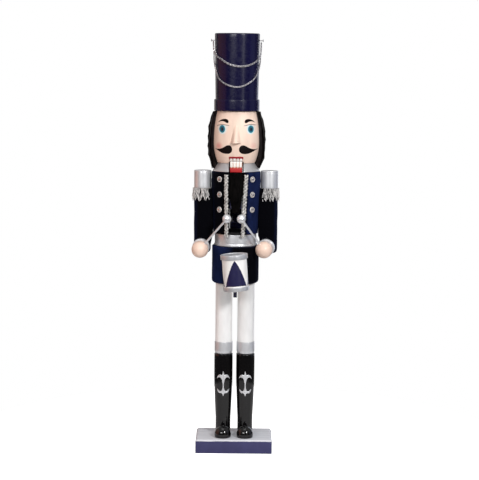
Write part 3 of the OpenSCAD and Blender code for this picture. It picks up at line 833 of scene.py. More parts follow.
def make_boots():
    gloss = enamel("boot_gloss", "boot_enamel", rgb(7, 6, 7), 0.06, 0.2, 0.03, 0.005, 0.36)
    silver = silver_paint("ornament_silver")
    profile = [(0, BASE_TOP), (ANKLE_R - 0.4, BASE_TOP), (ANKLE_R, BASE_TOP + 0.4)]
    profile += [(boot_radius(z), z) for z in range(24, int(BOOT_TOP) - 2, 3)]
    profile += rounded([(CALF_R, BOOT_TOP - 3), (CALF_R, BOOT_TOP - 0.9, 0.8),
        (CALF_R - 2, BOOT_TOP, 0.8), (0, BOOT_TOP)])[1:]
    dome = [(0, BASE_TOP), (TOE_R - 1.4, BASE_TOP), (TOE_R - 0.85, BASE_TOP + 0.35)]
    dome_low = -asin(3 / TOE_R)
    for k in range(15):
        angle = dome_low + (pi / 2 - dome_low) * k / 14
        dome.append((TOE_R * cos(angle) if k < 14 else 0,
            BASE_TOP + 4 + TOE_RISE * TOE_R * sin(angle)))
    outline = curve_through(ORNAMENT, per=5, closed=True)
    for name, side in SIDES.items():
        leg = (side * LEG_X, 0)
        piece(f"boot_{name}_shaft", revolve(profile, leg), gloss, f"boot_{name}")
        toe = as_bmesh(revolve(dome, (leg[0], TOE_FRONT + TOE_R)))
        slice_off(toe, (0, -6, 0), (0, 1, 0))
        piece(f"boot_{name}_toe", toe, gloss, f"toe_cap_{name}")
        paint = paint_patch(outline, on_round(boot_radius, leg), 0.22, 0.25, 1.0, 0.9)
        piece(f"boot_{name}_ornament", paint, silver)


def make_legs():
    silver = silver_paint("boot_cuff_silver", brushed=(12, 12, 1))
    white = enamel("trouser_white", "white_enamel", rgb(234, 233, 232), 0.4, 0.1, grain=0.01)
    cuff = rounded([(SPIGOT_R + 0.05, BOOT_TOP), (CUFF_R - 1.2, BOOT_TOP, 0.3),
        (CUFF_R, BOOT_TOP + 3, 1.2), (CUFF_R, CUFF_TOP, 0.9), (SPIGOT_R + 0.05, CUFF_TOP)],
        closed=True)
    leg = rounded([(0, BOOT_TOP), (SPIGOT_R, BOOT_TOP), (SPIGOT_R, CUFF_TOP),
        (TROUSER_R, CUFF_TOP, 0.5), (TROUSER_R, SKIRT_LOW.z, 0.5), (0, SKIRT_LOW.z)])
    for name, side in SIDES.items():
        at = (side * LEG_X, 0)
        piece(f"boot_cuff_{name}_ring", revolve(cuff, at, closed=True), silver,
            f"boot_cuff_{name}")
        piece(f"trouser_{name}", revolve(divided(leg, 6), at), white, f"trouser_leg_{name}")


# ---- skirt, belt and coat ----

def cloth_round(outline, start, stop, columns, ripple, tuck=0.6, shoulder=0.0):
    """Cloth glued round an upright core, from one angle to another. 0 is the front.

    Its two ends are tucked in a little, and the glued cloth ripples by that much. At its top it
    stands off by shoulder at the sides, as far as the turning arms let it.
    """
    closed = abs(stop - start) >= 360
    rows = []
    for r, z in outline:
        row = []
        for k in range(columns + (0 if closed else 1)):
            share = k / columns
            angle = radians(start + (stop - start) * share)
            out = Vector((sin(angle), -cos(angle), 0))
            wave = wobble(out.x * 2.6, out.y * 2.6, z / 17)
            wave += 0.5 * wobble(out.x * 7, out.y * 7, z / 6 + 9)
            turned_in = 0 if closed else max(0, 1 - min(share, 1 - share) * columns / 3)
            full = shoulder * abs(out.x) ** 6 * ramp(z, SHOULDER_Z, 25)
            full *= ramp(outline[-1][1] - z, 0, 2)
            room = max(0, (TORSO_CLEAR_X + 0.48) / max(abs(out.x), 0.2) - r - ripple)
            r_here = r + ripple * (wave - 0.4) - tuck * turned_in ** 2 + min(full, room)
            row.append(out * r_here + UP * z)
        rows.append(row)
    return grid(rows, round_it=closed)


def glued_cloth(obj, height):
    """Gives an open cloth its thickness, inwards."""
    solid = obj.modifiers.new("thickness", "SOLIDIFY")
    solid.thickness = CLOTH * MM
    solid.offset = -1


def make_skirt():
    # Painted sheen: the skirt turns navy on its left side, from x -3 mm to -16 mm.
    look = velvet("skirt_velvet", -3, -16)
    dress("skirt_core", timber("skirt_core_wood"))
    low, high = SKIRT_LOW.z, SKIRT_HIGH.z
    arc = [(SKIRT_R - 4.9 + 4.9 * sin(a), low + 4.9 - 4.9 * cos(a))
        for a in (pi / 2 * k / 7 for k in range(8))]
    outline = [(SKIRT_R - 5.6, low + 0.02)] + arc
    outline += divided([arc[-1], (SKIRT_R, high - 0.8)], 2)[1:]
    outline += [(SKIRT_R - 0.4, high - 0.1), (BELT_R - 1.6, high - 0.05)]
    skirt = piece("velvet_skirt", cloth_round(outline, 0, 360, 144, 0.3), look, "skirt_cloth")
    glued_cloth(skirt, line_length(outline))
    seam = [Vector((0.8 * wobble(0, 0, z / 9), SKIRT_R + 0.1, z))
        for z in range(int(low) + 5, int(high), 2)]
    piece("skirt_back_seam", tube(seam, 0.45, 8), look)


def make_belt():
    look = silver_paint("belt_silver", brushed=(12, 12, 1), roughness=0.3)
    low, high = BELT_LOW.z, BELT_HIGH.z
    lip = [(BELT_R - 0.6 + 1.6 * cos(a), low + 1.8 + 1.6 * sin(a))
        for a in (radians(-100 + 165 * k / 12) for k in range(13))]
    outline = [(BELT_R - 1.5, low + 0.05)] + lip + rounded([lip[-1], (BELT_R - 0.15, low + 4, 0.8),
        (BELT_R, high - 0.5, 0.8), (BELT_R - 1.5, high)])[1:]
    piece("belt_ring", revolve(outline, segments=128, closed=True), look, "belt")


def make_coat():
    core = timber("chest_wood")
    # Painted shade: within the jaw's slot the core is painted near-black, where the slot lies in
    # shade.
    inside = core.level(core.math("ABSOLUTE", core.axis(0)), 1, 0,
        ((SLOT_X + 0.4) * MM, (SLOT_X + 1.4) * MM))
    plain = core.shader.inputs["Base Color"].links[0].from_socket
    core.set("base_color", core.mix(inside, plain, rgb(7, 6, 9)))
    dress("chest_core", core)
    # Painted sheen: the right panel turns navy beyond x 13 mm, and the left only faintly at its
    # outer edge.
    looks = {"left": velvet("coat_velvet_left", -30, -75),
        "right": velvet("coat_velvet_right", 13, 19)}
    low, top = COAT_LOW.z, COAT_HIGH.z
    outline = divided([(coat_radius(low + 0.3), low + 0.3), (COAT_TOP_R, top - 3)], 2.2)
    outline += [(COAT_TOP_R - 0.4, top - 1.2), (COAT_TOP_R - 1.6, top - 0.2)]
    outline.insert(0, (COAT_LOW_R - 0.7, low + 0.02))
    edge = degrees(asin((SLOT_X + 0.2) / COAT_TOP_R))
    for name, side in SIDES.items():
        start, stop = (edge, 180 - edge) if side > 0 else (edge - 180, -edge)
        shape = cloth_round(outline, start, stop, 72, 0.22, shoulder=2.2)
        coat = piece(f"velvet_coat_{name}", shape, looks[name], f"coat_cloth_{name}")
        glued_cloth(coat, line_length(outline))


def make_slot_shade_sheets():
    """Near-black strips down both cheeks of the jaw's slot, near its back, beside the lever:
    painted shade, dark sheets that keep light from showing through the slot.
    """
    look = Look("slot_shade_sheet", "black_fur", roughness=0.95, specular_ior_level=0.05)
    look.set("base_color", look.drift(1.5, rgb(6, 5, 7), rgb(14, 13, 15)))
    look.bump(look.speckle(0.3), 0.1)
    low = span("chest_core")[0].z
    side_view = [(12, low + 3.2), (30.5, low + 3.2), (30.5, COLLAR_LOW.z - 0.3),
        (23, COLLAR_HIGH.z - 0.2), (12, COLLAR_HIGH.z - 0.2)]
    for name, side in SIDES.items():
        bm = face_out(board(side_view, side * 9.1, side * (SLOT_X - 0.02)))
        soften_edges(bm, 0.25)
        piece(f"slot_shade_sheet_{name}", bm, look)


# The x of each braid at its top and its bottom.
BRAID_X = {"left": (-14, -13), "right": (14.5, 10)}
BRAID_STEPS = 180
BRAID_LAY = 9.6
STRAY_THREADS = 190


def make_braids():
    """The silver rope on each edge of the coat: two plies, tightly and unevenly twisted."""
    look = fibre("braid_silver", "silver_braid", rgb(96, 94, 94), rgb(250, 247, 242), 0.4, 0.2,
        lock=1.3)
    rng = random.Random(11)
    for name, side in SIDES.items():
        top_x, low_x = BRAID_X[name]
        high, low = COAT_HIGH.z - 4, COAT_LOW.z - 3.5
        line = []
        for i in range(BRAID_STEPS + 1):
            t = i / BRAID_STEPS
            x = top_x + (low_x - top_x) * t + 0.35 * wobble(side * 5, 0, t * 14)
            out = COAT_TOP_R + (COAT_LOW_R - COAT_TOP_R) * t + 2.6
            line.append(Vector((x, -sqrt(out * out - x * x), high + (low - high) * t)))
        shapes = []
        for ply in (0, 1):
            route = []
            for i, p in enumerate(line):
                lay = tau * i / BRAID_STEPS * (high - low) / BRAID_LAY + pi * ply
                lay += 0.7 * wobble(i / 22, side, ply)
                out = Vector((p.x, p.y, 0)).normalized()
                route.append(p + out * (0.8 * sin(lay)) + UP.cross(out) * (1.75 * cos(lay)))
            shapes.append(tube(route, lambda t: 1.35 + 0.5 * wobble(t * 34, ply, 3), 12))
        for _ in range(STRAY_THREADS):
            i = rng.randrange(2, BRAID_STEPS - 2)
            p = line[i]
            way = Vector((rng.uniform(-1, 1), rng.uniform(-1, 0.1), rng.uniform(-0.8, 0.8)))
            root = p + way.normalized() * 1.2
            tip = root + way.normalized() * rng.uniform(1.2, 2.4)
            bend = (root + tip) / 2 + Vector((0, 0, rng.uniform(-0.5, 0.5)))
            shapes.append(tube([root, bend, tip], 0.2, 3))
        piece(f"coat_rope_{name}", joined(shapes), look, f"coat_braid_{name}", 60)


STUD_X = 23
STUD_HEIGHTS = (394, 372, 350.5)


def make_buttons():
    """Cut-glass studs in beaded silver rims."""
    look = metal("stud_silver", "stud_metal", (250, 244, 240), 0.22)
    look.set("metallic", 0.45)
    cut = metal("stud_crystal", "stud_metal", (236, 230, 228), 0.16)
    dish = rounded([(0, 0), (4.1, 0), (4.1, 0.9, 0.5), (3.3, 1.2, 0.4), (2.7, 0.7)])
    bead = [(0, 0.6)] + [(0.55 * sin(pi * j / 6), 1.15 - 0.55 * cos(pi * j / 6))
        for j in range(1, 6)] + [(0, 1.7)]
    beads = [revolve(bead, (3.45 * cos(a), 3.45 * sin(a)), 8) for a in turns(14)]
    stud = joined([revolve(dish, segments=32)] + beads)
    crystal = revolve([(2.7, 0.7), (2.5, 1.5), (1.5, 2.4), (0, 2.75)], segments=7)
    shapes, crystals = [], []
    for side in SIDES.values():
        for z in STUD_HEIGHTS:
            out = asin(STUD_X / coat_radius(z)) * side
            turn = Matrix.Rotation(out, 4, "Z") @ Matrix.Translation((0, -coat_radius(z) - 0.1, z))
            turn = turn @ Matrix.Rotation(pi / 2, 4, "X")
            shapes.append(moved(stud, turn))
            crystals.append(moved(crystal, turn))
    piece("coat_studs", joined(shapes), look, "coat_buttons", 25)
    piece("coat_stud_crystals", joined(crystals), cut, sharp=15)


def make_collars():
    look = silver_paint("collar_silver", (202, 201, 202), brushed=(1, 1, 9))
    low, high = COLLAR_LOW.z, COLLAR_HIGH.z
    foot_r, top_r = 33.7, 26.2
    outline = rounded([(0, low), (foot_r, low, 0.3), (foot_r - 0.3, low + 0.9, 0.6),
        (top_r, high, 0.5), (0, high)])
    for name, side in SIDES.items():
        bm = as_bmesh(revolve(divided(outline, 2.5), segments=128))
        slice_off(bm, (side * SLOT_X, 0, 0), (-side, 0, 0))
        piece(f"collar_half_{name}", bm, look, f"collar_{name}")


# ---- head and face ----

def skin():
    """Flesh enamel with rouged cheeks. The left cheek is rouged more than twice as strongly as the
    right: its own rouge, with a painted warm shade on that side.
    """
    look = enamel("skin", "flesh_enamel", rgb(242, 215, 197), 0.5, 0, grain=0.008, shine=0.16)
    colour = look.base
    # The left rouge's greater strength is painted shade: the warm shade that falls on the face's
    # left side.
    for centre, strength in (((-25.5, -22, 441), 0.6), ((25, -22, 441.5), 0.28)):
        share = look.level(look.near(centre, (9, 9, 6.5)), strength, 0, (0.15, 1))
        colour = look.mix(share, colour, rgb(226, 120, 112))
    look.set("base_color", colour)
    return look


def make_head():
    look = skin()
    low, high = HEAD_LOW.z, HEAD_HIGH.z
    outline = [(0, low), (HEAD_LOW_R - 0.6, low)]
    outline += [(head_radius(z), z) for z in
        [low + 0.5 + (high - low - 0.5) * k / 36 for k in range(37)]]
    outline.append((0, high))
    head = piece("head_block", revolve(outline, segments=144), look, "head")
    cutter = piece("notch", block((2 * SLOT_X, 62, 12), (0, -29, NOTCH_TOP - 6)), look)
    carve = head.modifiers.new("notch", "BOOLEAN")
    carve.operation = "DIFFERENCE"
    carve.object = cutter
    applied(head)
    bpy.data.objects.remove(cutter)
    head.data.set_sharp_from_angle(angle=radians(32))
    make_nose(look)


def make_nose(look):
    """A soft-edged wedge, from between the eyes down to its flat underside.

    Its left face is a little broader than its right one.
    """
    top, low, tip_y = 472, 445.7, -43
    sections = []
    for k in range(9):
        t = k / 8
        z = top + (low - top) * t
        base = 3.0 + 3.5 * t
        ridge = -31.6 + (tip_y + 31.6) * t ** 0.92
        crest = 1.5 + 1.9 * t
        root = -head_radius(z) + 1.2
        aside, mid = -1.1 * t, root * 0.75 + ridge * 0.25
        sections.append([(-base * 1.3, root, z), (-base * 1.12, mid, z),
            (aside - crest, ridge + 0.9, z), (aside - crest * 0.4, ridge, z),
            (aside + crest * 0.4, ridge, z), (aside + crest, ridge + 0.9, z),
            (base * 0.86, mid, z), (base, root, z)])
    points, faces = grid(sections, round_it=True)
    faces += [list(range(8)), list(range(64, 72))[::-1]]
    bm = face_out(as_bmesh((points, faces)))
    soften_edges(bm, 0.5, 3, above=50)
    nose = piece("nose_wedge", bm, look, "nose", 40)
    smooth = nose.modifiers.new("smooth", "SUBSURF")
    smooth.levels = smooth.render_levels = 2


BROW = [(-26.4, 474.2), (-26.4, 474.2), (-23.4, 477.2), (-19.6, 479.1), (-15.6, 479.5),
    (-12.4, 478.2), (-11.4, 475.9), (-12.1, 473.9), (-14.2, 473.9), (-17.4, 475.7), (-21.2, 476.2),
    (-24.0, 475.4)]
WHITE_OF_EYE = [(-26.6, 470.2), (-26.6, 470.2), (-26.4, 464.8), (-24.4, 459.8), (-20.2, 457.9),
    (-15.8, 459.3), (-13.0, 464.2), (-11.6, 470.0), (-11.6, 470.0), (-19.4, 470.9)]
EYE_X, EYE_Z = 20.2, 465.2
MOUSTACHE = [(-30.4, 437.4), (-30.4, 437.4), (-26.6, 436.7), (-21.6, 437.6), (-17.4, 439.7),
    (-13.8, 442.0), (-10.4, 442.5), (-7.4, 440.8), (-6.0, 437.4), (-6.6, 433.6), (-9.2, 431.0),
    (-13.4, 430.2), (-18.4, 430.8), (-23.2, 432.8), (-27.2, 435.3)]


def make_face():
    """The painted face. The right half is the left one turned over.

    On the right the lid is a little higher, and the moustache reaches a little further in.
    """
    dark = enamel("face_dark", "hat_enamel", rgb(13, 4, 3), 0.6, 0, shine=0.15)
    grey = enamel("lid_grey", "silver_paint", rgb(126, 112, 112), 0.4, 0.2)
    white = Look("eye_white", "white_enamel", roughness=0.3, coat_weight=0.4)
    iris = Look("eye_teal", "base_enamel", roughness=0.5, coat_weight=0)
    pupil = enamel("pupil_dark", "hat_enamel", rgb(18, 4, 26), 0.5, 0)
    place = on_round(head_radius)
    white_colour, iris_colour = rgb(240, 224, 212), rgb(20, 128, 148)
    for side in SIDES.values():
        centre = (side * EYE_X, -26, EYE_Z)
        halo = white.level(white.near(centre, (6.4, 12, 8.2)), 1, 0, (0.62, 1))
        white_colour = white.mix(halo, white_colour, rgb(206, 240, 246))
        ring = iris.level(iris.near(centre, (3.9, 30, 5.0)), 1, 0, (0.55, 1.0))
        iris_colour = iris.mix(ring, iris_colour, rgb(4, 24, 62))
    white.set("base_color", white_colour)
    white.bump(white.speckle(1.4), 0.01)
    rays = iris.level(iris.speckle(0.8, (1, 1, 2.5)), 0, 0.3)
    iris.set("base_color", iris.mix(rays, iris_colour, rgb(60, 176, 190)))
    iris.bump(iris.speckle(0.6), 0.02)
    for name, side in SIDES.items():
        def turned(outline):
            return [(-side * x, z) for x, z in outline]

        def patch(part, outline, look, lift, bulge=0.0, edge=1.0):
            smooth = curve_through(outline, per=6, closed=True)
            piece(f"{part}_{name}", paint_patch(smooth, place, lift, bulge, 0.9, edge), look)

        patch("brow", turned(BROW), dark, 0.14, 0.12)
        patch("eye_white", turned(WHITE_OF_EYE), white, 0.08)
        patch("iris", oval(side * EYE_X, EYE_Z, 4.1, 5.3), iris, 0.13, 0.18, 2)
        patch("pupil", oval(side * EYE_X + 0.3, EYE_Z - 0.1, 1.3, 2.1), pupil, 0.42, 0.1)
        rise = 0.9 if side > 0 else 0
        lid = [(x, z + rise * max(0, side * x - 15) / 10) for x, z in turned(
            [(-26.9, 470.3), (-19.4, 471.9), (-11.0, 470.5), (-11.0, 469.9), (-19.4, 470.8),
                (-26.9, 469.6)])]
        patch("lid_line", lid, grey, 0.3)
        inward = 0 if side < 0 else 2.2
        lip_hair = [(x + inward * max(0, x + 30) / 24, z) for x, z in MOUSTACHE]
        patch("moustache", turned(lip_hair), dark, 0.16, 0.3, 2)


# The borders of four teeth, half the gap between two, and how much narrower the jaw's row is.
TEETH_X = (-9.4, -4.9, -0.1, 4.6, 9.0)
TEETH_GAP = 0.35
JAW_SQUEEZE = 0.93


def make_mouth():
    """Lips and two rows of four teeth: the upper ones on the head, the lower ones on the jaw."""
    red = enamel("lip_red", "flesh_enamel", rgb(176, 10, 16), 0.5, 0)
    deep = enamel("lip_deep_red", "flesh_enamel", rgb(156, 20, 30), 0.4, 0.2)
    ivory = enamel("tooth_ivory", "white_enamel", rgb(250, 245, 238), 0.3, 0.3)
    gum = enamel("gum_line", "flesh_enamel", rgb(196, 138, 112), 0.4, 0.2)
    on_head = on_round(head_radius)
    on_head_front = [(-9.9, 419.3), (9.5, 419.3), (9.5, 424.6), (-9.9, 424.6)]
    piece("upper_gum", paint_patch(on_head_front, on_head, 0.1), gum)
    on_jaw_front = [(-8.6, 409), (8.6, 409), (8.6, JAW_TOP - 0.1), (-8.6, JAW_TOP - 0.1)]
    piece("lower_gum", paint_patch(on_jaw_front, on_jaw, 0.1), gum, body="jaw")
    for name, low, high, low_r, high_r, place, body, squeeze in (
            ("teeth_upper", 419.3, 424.2, 0.5, 1.9, on_head, "figure", 1.0),
            ("teeth_lower", 411.2, JAW_TOP + 0.8, 1.9, 0.5, on_jaw, "jaw", JAW_SQUEEZE)):
        shapes = []
        for a, b in zip(TEETH_X, TEETH_X[1:]):
            a, b = (a + TEETH_GAP) * squeeze, (b - TEETH_GAP) * squeeze
            corners = [(a, high, high_r), (b, high, high_r), (b, low, low_r), (a, low, low_r)]
            bm = paint_patch(rounded(corners, closed=True), place, 0.25, 0.7, 0.6, 1.4)
            shapes.append(points_of(bm))
        piece(name, joined(shapes), ivory, body=body)
    upper = [(-10.2, 426.0), (-5, 426.5), (0, 426.1), (5, 426.5), (9.8, 426.0), (10.0, 424.0)]
    lower = [(-8.7, 404.2), (8.7, 404.2)]
    for a, b in zip(TEETH_X[::-1], TEETH_X[-2::-1]):
        mid = (a + b) / 2
        upper += [(a, 421.9), (mid + 1.1, 423.4), (mid - 1.1, 423.4)]
        mid *= JAW_SQUEEZE
        lower += [(a * JAW_SQUEEZE, 411.6), (mid + 1.1, 410.2), (mid - 1.1, 410.2)]
    upper += [(TEETH_X[0], 421.9), (-10.4, 424.0)]
    lower += [(TEETH_X[0] * JAW_SQUEEZE, 411.6)]
    piece("lip_upper", paint_patch(upper, on_head, 0.3, 0.6, 0.8, 1.2), deep)
    piece("lip_lower", paint_patch(lower, on_jaw, 0.3, 1.0, 0.8, 2.2), red, body="jaw")


# ---- hair ----

LOCKS = 46
STRANDS = 22


def hair_radius(z, side=1):
    """How far the hair stands from the figure's axis. Its two sides differ a little."""
    heights = (407.5, 412, 418, 423, 427, 440, 452, 466, 477, 486, 491)
    left = (35.0, 35.6, 36.8, 38.2, 39.9, 40.6, 40.2, 39.2, 37.3, 34.8, 32.8)
    right = (33.2, 35.2, 38.3, 39.8, 40.3, 40.6, 40.6, 39.7, 37.2, 34.4, 32.6)
    radii = left if side < 0 else right
    z = min(max(z, heights[0]), heights[-1])
    i = next(k for k in range(1, len(heights)) if z <= heights[k])
    t = (z - heights[i - 1]) / (heights[i] - heights[i - 1])
    wave = 0.5 * sin(z / 2.1 + side) + 0.5 * wobble(z / 5, side * 3, 1)
    return radii[i - 1] + (radii[i] - radii[i - 1]) * t + wave * min((z - heights[0]) / 8, 1)


def hair_edge(z):
    """The angle from the back, in degrees, at which the hair ends beside the face."""
    return 101 + 3 * sin((z - HAIR_LOW.z) / 83 * pi)


def make_hair():
    """A wig: a dark under-layer, and locks of strands that hang from the hat to the collar."""
    look = fibre("hair_brown_black", "black_fur", rgb(6, 2, 2), rgb(28, 21, 22), 0.5, 0, 0.16)
    low, high = HAIR_LOW.z, HAIR_HIGH.z
    rows = []
    for k in range(41):
        z = low + 0.6 + (high - low - 1) * k / 40
        row = []
        for n in range(65):
            angle = radians(hair_edge(z) * (n / 32 - 1))
            bumps = 0.8 * wobble(angle * 6, 2, z / 30)
            edge = 1 - max(0, abs(n - 32) - 29) / 3
            if z > HEAD_LOW.z:
                inner = head_radius(z) + 0.2
            else:
                inner = 32.6 - 6.6 * max(0, (z - COLLAR_LOW.z - 1) / 11)
            full = hair_radius(z, 1 if angle > 0 else -1) - 0.9 + bumps
            r = inner + max(full - inner, 0.3) * sqrt(edge)
            row.append(Vector((r * sin(angle), r * cos(angle), z)))
        rows.append(row)
    piece("hair_under", grid(rows), look, "hair", 60)
    rng = random.Random(5)
    for part, centre in (("left", -70), ("back", 0), ("right", 70)):
        shapes = []
        for _ in range(LOCKS):
            lock_angle = centre + rng.uniform(-34, 34)
            lock_top = rng.choice((high - 1, high - 1, rng.uniform(440, high)))
            lock_low = max(low - 1, lock_top - rng.uniform(50, 85))
            phase = rng.uniform(0, 6)
            stand = rng.uniform(-1.2, 0.6)
            for _ in range(STRANDS):
                angle = lock_angle + rng.gauss(0, 2.6)
                lift = stand + rng.uniform(-0.6, 0.5)
                stop = lock_low + rng.uniform(-1, 4)
                route = []
                for k in range(11):
                    t = k / 10
                    z = lock_top + (max(stop, low + 0.2) - lock_top) * t
                    limit = hair_edge(z)
                    wave = 1.5 * sin(t * 5 + phase) + 0.6 * sin(t * 11 + phase * 2)
                    a = radians(max(-limit, min(limit, angle + wave)))
                    r = hair_radius(z, 1 if a > 0 else -1)
                    r += lift * sin(pi * min(1, t * 1.3 + 0.1))
                    r = max(r, head_radius(max(z, HEAD_LOW.z)) + 0.4)
                    route.append(Vector((r * sin(a), r * cos(a), z)))
                thick = rng.uniform(0.28, 0.5)
                shapes.append(tube(route, lambda t, w=thick: w * (1 - 0.7 * t), 3))
        piece(f"hair_locks_{part}", joined(shapes), look, sharp=80)


# ---- hat ----

def make_hat():
    look = enamel("hat_gloss", "hat_enamel", rgb(10, 8, 48), 0.26, 0.15, 0.1, 0.01, 0.28)
    low, high = BAND_LOW.z, BAND_HIGH.z
    band = rounded([(0, low), (BAND_R, low, 1), (BAND_R, high, 0.9), (0, high)])
    piece("hat_band_ring", revolve(divided(band, 4), segments=128), look, "hat_band")
    top = CROWN_HIGH.z
    crown = rounded([(0, high), (CROWN_LOW_R, high), (CROWN_TOP_R, top, 1.8), (0, top)])
    piece("hat_crown_turned", revolve(divided(crown, 5), segments=128), look, "hat_crown")


# ---- jaw ----

def make_jaw():
    """One bevelled board: the jaw in front, an arm past the pin, and the lever down the back."""
    look = enamel("lever_navy", "lever_enamel", rgb(34, 32, 74), 0.25, 0.4)
    low, back = JAW_LOW.z, JAW_HIGH.y
    # (y, z) round the board, from the chin to the lever and back over the pin.
    side_view = [(JAW_FRONT, 404), (-29.5, 404), (-29.5, 352), (-4, 352), (35.4, 326),
        (35.4, low), (back, low), (back, 341), (-2, 371), (-21, 372), (-21, 402), (-12, 412),
        (-12, JAW_TOP), (JAW_FRONT, JAW_TOP)]
    bm = board(side_view, -JAW_HALF, JAW_HALF)
    for z in (TAPER_HIGH, TAPER_LOW):
        cut_at(bm, (0, 0, z), UP, clear=False)
    for v in bm.verts:
        narrow = ramp(TAPER_HIGH - v.co.z, 0, TAPER_HIGH - TAPER_LOW)
        v.co.x *= 1 - narrow * (1 - LEVER_HALF / JAW_HALF)
    face_out(bm)
    soften_edges(bm, 0.5, above=25)
    piece("jaw_board", bm, look, "jaw_lever", body="jaw")


TUFTS = 1500


def beard_half(z):
    """Half the beard's width at a height."""
    return 3.5 + 6.4 * sin(ramp(z, BEARD_LOW.z, 40) * pi / 2)


def beard_depth(z, least, swell):
    """How far the beard stands out at a height: least, and up to swell more at its middle."""
    share = (z - BEARD_LOW.z) / (BEARD_HIGH.z - BEARD_LOW.z)
    return least + swell * sin(pi * min(max(share, 0.08), 0.86))


def make_beard():
    look = fibre("beard_black", "black_fur", rgb(1, 1, 1), rgb(17, 14, 14), 0.8, 0, 0.06)
    low, high = BEARD_LOW.z, BEARD_HIGH.z
    back = JAW_FRONT + 3.4
    rows = []
    for k in range(25):
        z = low + 1.5 + (high - low - 1.6) * k / 24
        row = []
        depth = beard_depth(z, 2.0, 4.8)
        for n in range(17):
            angle = pi * (n / 16 - 0.5)
            row.append(Vector((0.93 * beard_half(z) * sin(angle),
                back - depth * cos(angle) ** 0.6, z)))
        rows.append(row)
    piece("beard_under", grid(rows), look, "beard", 60, "jaw")
    rng = random.Random(8)
    shapes = []
    for _ in range(TUFTS):
        z = rng.uniform(low + 5, high + 0.5)
        across = rng.uniform(-0.95, 0.95)
        wide = beard_half(z)
        depth = beard_depth(z, 2.2, 5.0)
        x = across * wide
        y = back - depth * sqrt(1 - across * across) ** 0.6
        length = rng.uniform(7, 15)
        sway = rng.uniform(-3.6, 3.6)
        stand = rng.uniform(0.2, 2.4)
        route = []
        for k in range(5):
            t = k / 4
            down = max(z - length * t, low)
            limit = min(beard_half(down) + 0.6, 10.4)
            route.append(Vector((max(-limit, min(limit, x + sway * t * t)),
                y - stand * sin(pi * 0.8 * t) + 0.5 * t, down)))
        thick = rng.uniform(0.2, 0.36)
        shapes.append(tube(route, lambda t, w=thick: w * (1 - 0.8 * t), 3))
    piece("beard_fur", joined(shapes), look, sharp=80, body="jaw")


# ---- arms ----

def forearm(name, side):
    """Its elbow, and the direction from there to the hand."""
    turn, slope = radians(FOREARM_TURN[name]), radians(FOREARM_SLOPE)
    way = Vector((sin(turn) * cos(slope), -cos(turn) * cos(slope), -sin(slope)))
    return Vector((side * ARM_X, 0, ELBOW_Z)), way


SLEEVE_VOXEL = 0.9
CREASES = ((13, -0.25, 3.2, 1), (22, 0.3, 2.6, 0.7))


def make_sleeve(name, side, look):
    """Velvet drawn over the upper arm and the start of the forearm, as one shape.

    A crease has its height over the elbow, its slope, its width and its depth.
    """
    elbow, way = forearm(name, side)
    full = SLEEVE_R - 0.3
    foot = ELBOW_Z - 11.8
    outline = rounded([(0, foot), (full, foot, 6.5), (full, SLEEVE_TOP), (0, SLEEVE_TOP)])
    upper = revolve(divided(outline, 3), (elbow.x, 0), 64)
    fore = moved(revolve([(0, -4), (SLEEVE_R - 0.8, -4), (SLEEVE_R - 0.6, 16), (0, 16)],
        segments=64), along(elbow, way))
    body = f"arm_{name}"
    sleeve = piece(f"velvet_sleeve_{name}", joined([upper, fore]), look, f"sleeve_{name}",
        body=body)
    remesh = sleeve.modifiers.new("remesh", "REMESH")
    remesh.mode = "VOXEL"
    remesh.voxel_size = SLEEVE_VOXEL * MM
    relax = sleeve.modifiers.new("relax", "SMOOTH")
    relax.factor, relax.iterations = 0.5, 5
    applied(sleeve)
    bm = bmesh.new()
    bm.from_mesh(sleeve.data)
    bmesh.ops.scale(bm, vec=(1 / MM, 1 / MM, 1 / MM), verts=bm.verts[:])
    for v in bm.verts:
        out = Vector((v.co.x - elbow.x, v.co.y, 0))
        crease = sum(depth * exp(-((v.co.z - ELBOW_Z - height + slope * out.x) / width) ** 2)
            for height, slope, width, depth in CREASES)
        front = max(0, -out.y / SLEEVE_R)
        swell = 0.35 * noise.noise(v.co / 16) - 0.55 * crease * front
        v.co += out.normalized() * swell
        # The inner side lies along the coat, above the skirt and below the shoulder.
        round_it = degrees(atan2(-out.y, -side * out.x))
        near = ramp(80 - round_it, 0, 42) if round_it > 0 else max(0, 1 + round_it / 50)
        near *= near * (3 - 2 * near) * ramp(v.co.z, ELBOW_Z, 14)
        clear = max(SLEEVE_INNER_R, coat_radius(v.co.z) + 0.45)
        against = side * sqrt(clear ** 2 - min(v.co.y, 0) ** 2)
        v.co.x += (against - v.co.x) * near
    for point, outward in ((UP * (CAP_LOW.z - 0.15), UP), (elbow + way * (WRIST_AT - 0.1), way),
            ((side * SLEEVE_INNER_X, 0, 0), (-side, 0, 0))):
        cut_at(bm, point, outward)
    bmesh.ops.scale(bm, vec=(MM, MM, MM), verts=bm.verts[:])
    bm.to_mesh(sleeve.data)
    bm.free()
    sleeve.data.shade_smooth()
    glued_cloth(sleeve, CAP_LOW.z - ELBOW_Z + 20)
    seam = [Vector((elbow.x, SLEEVE_R - 0.05 + 0.35 * wobble(0, z / 10, side), z))
        for z in range(int(ELBOW_Z), int(CAP_LOW.z), 3)]
    piece(f"sleeve_seam_{name}", tube(seam, 0.35, 8), look, body=body)


FRINGE_LOOPS = (28, 24)


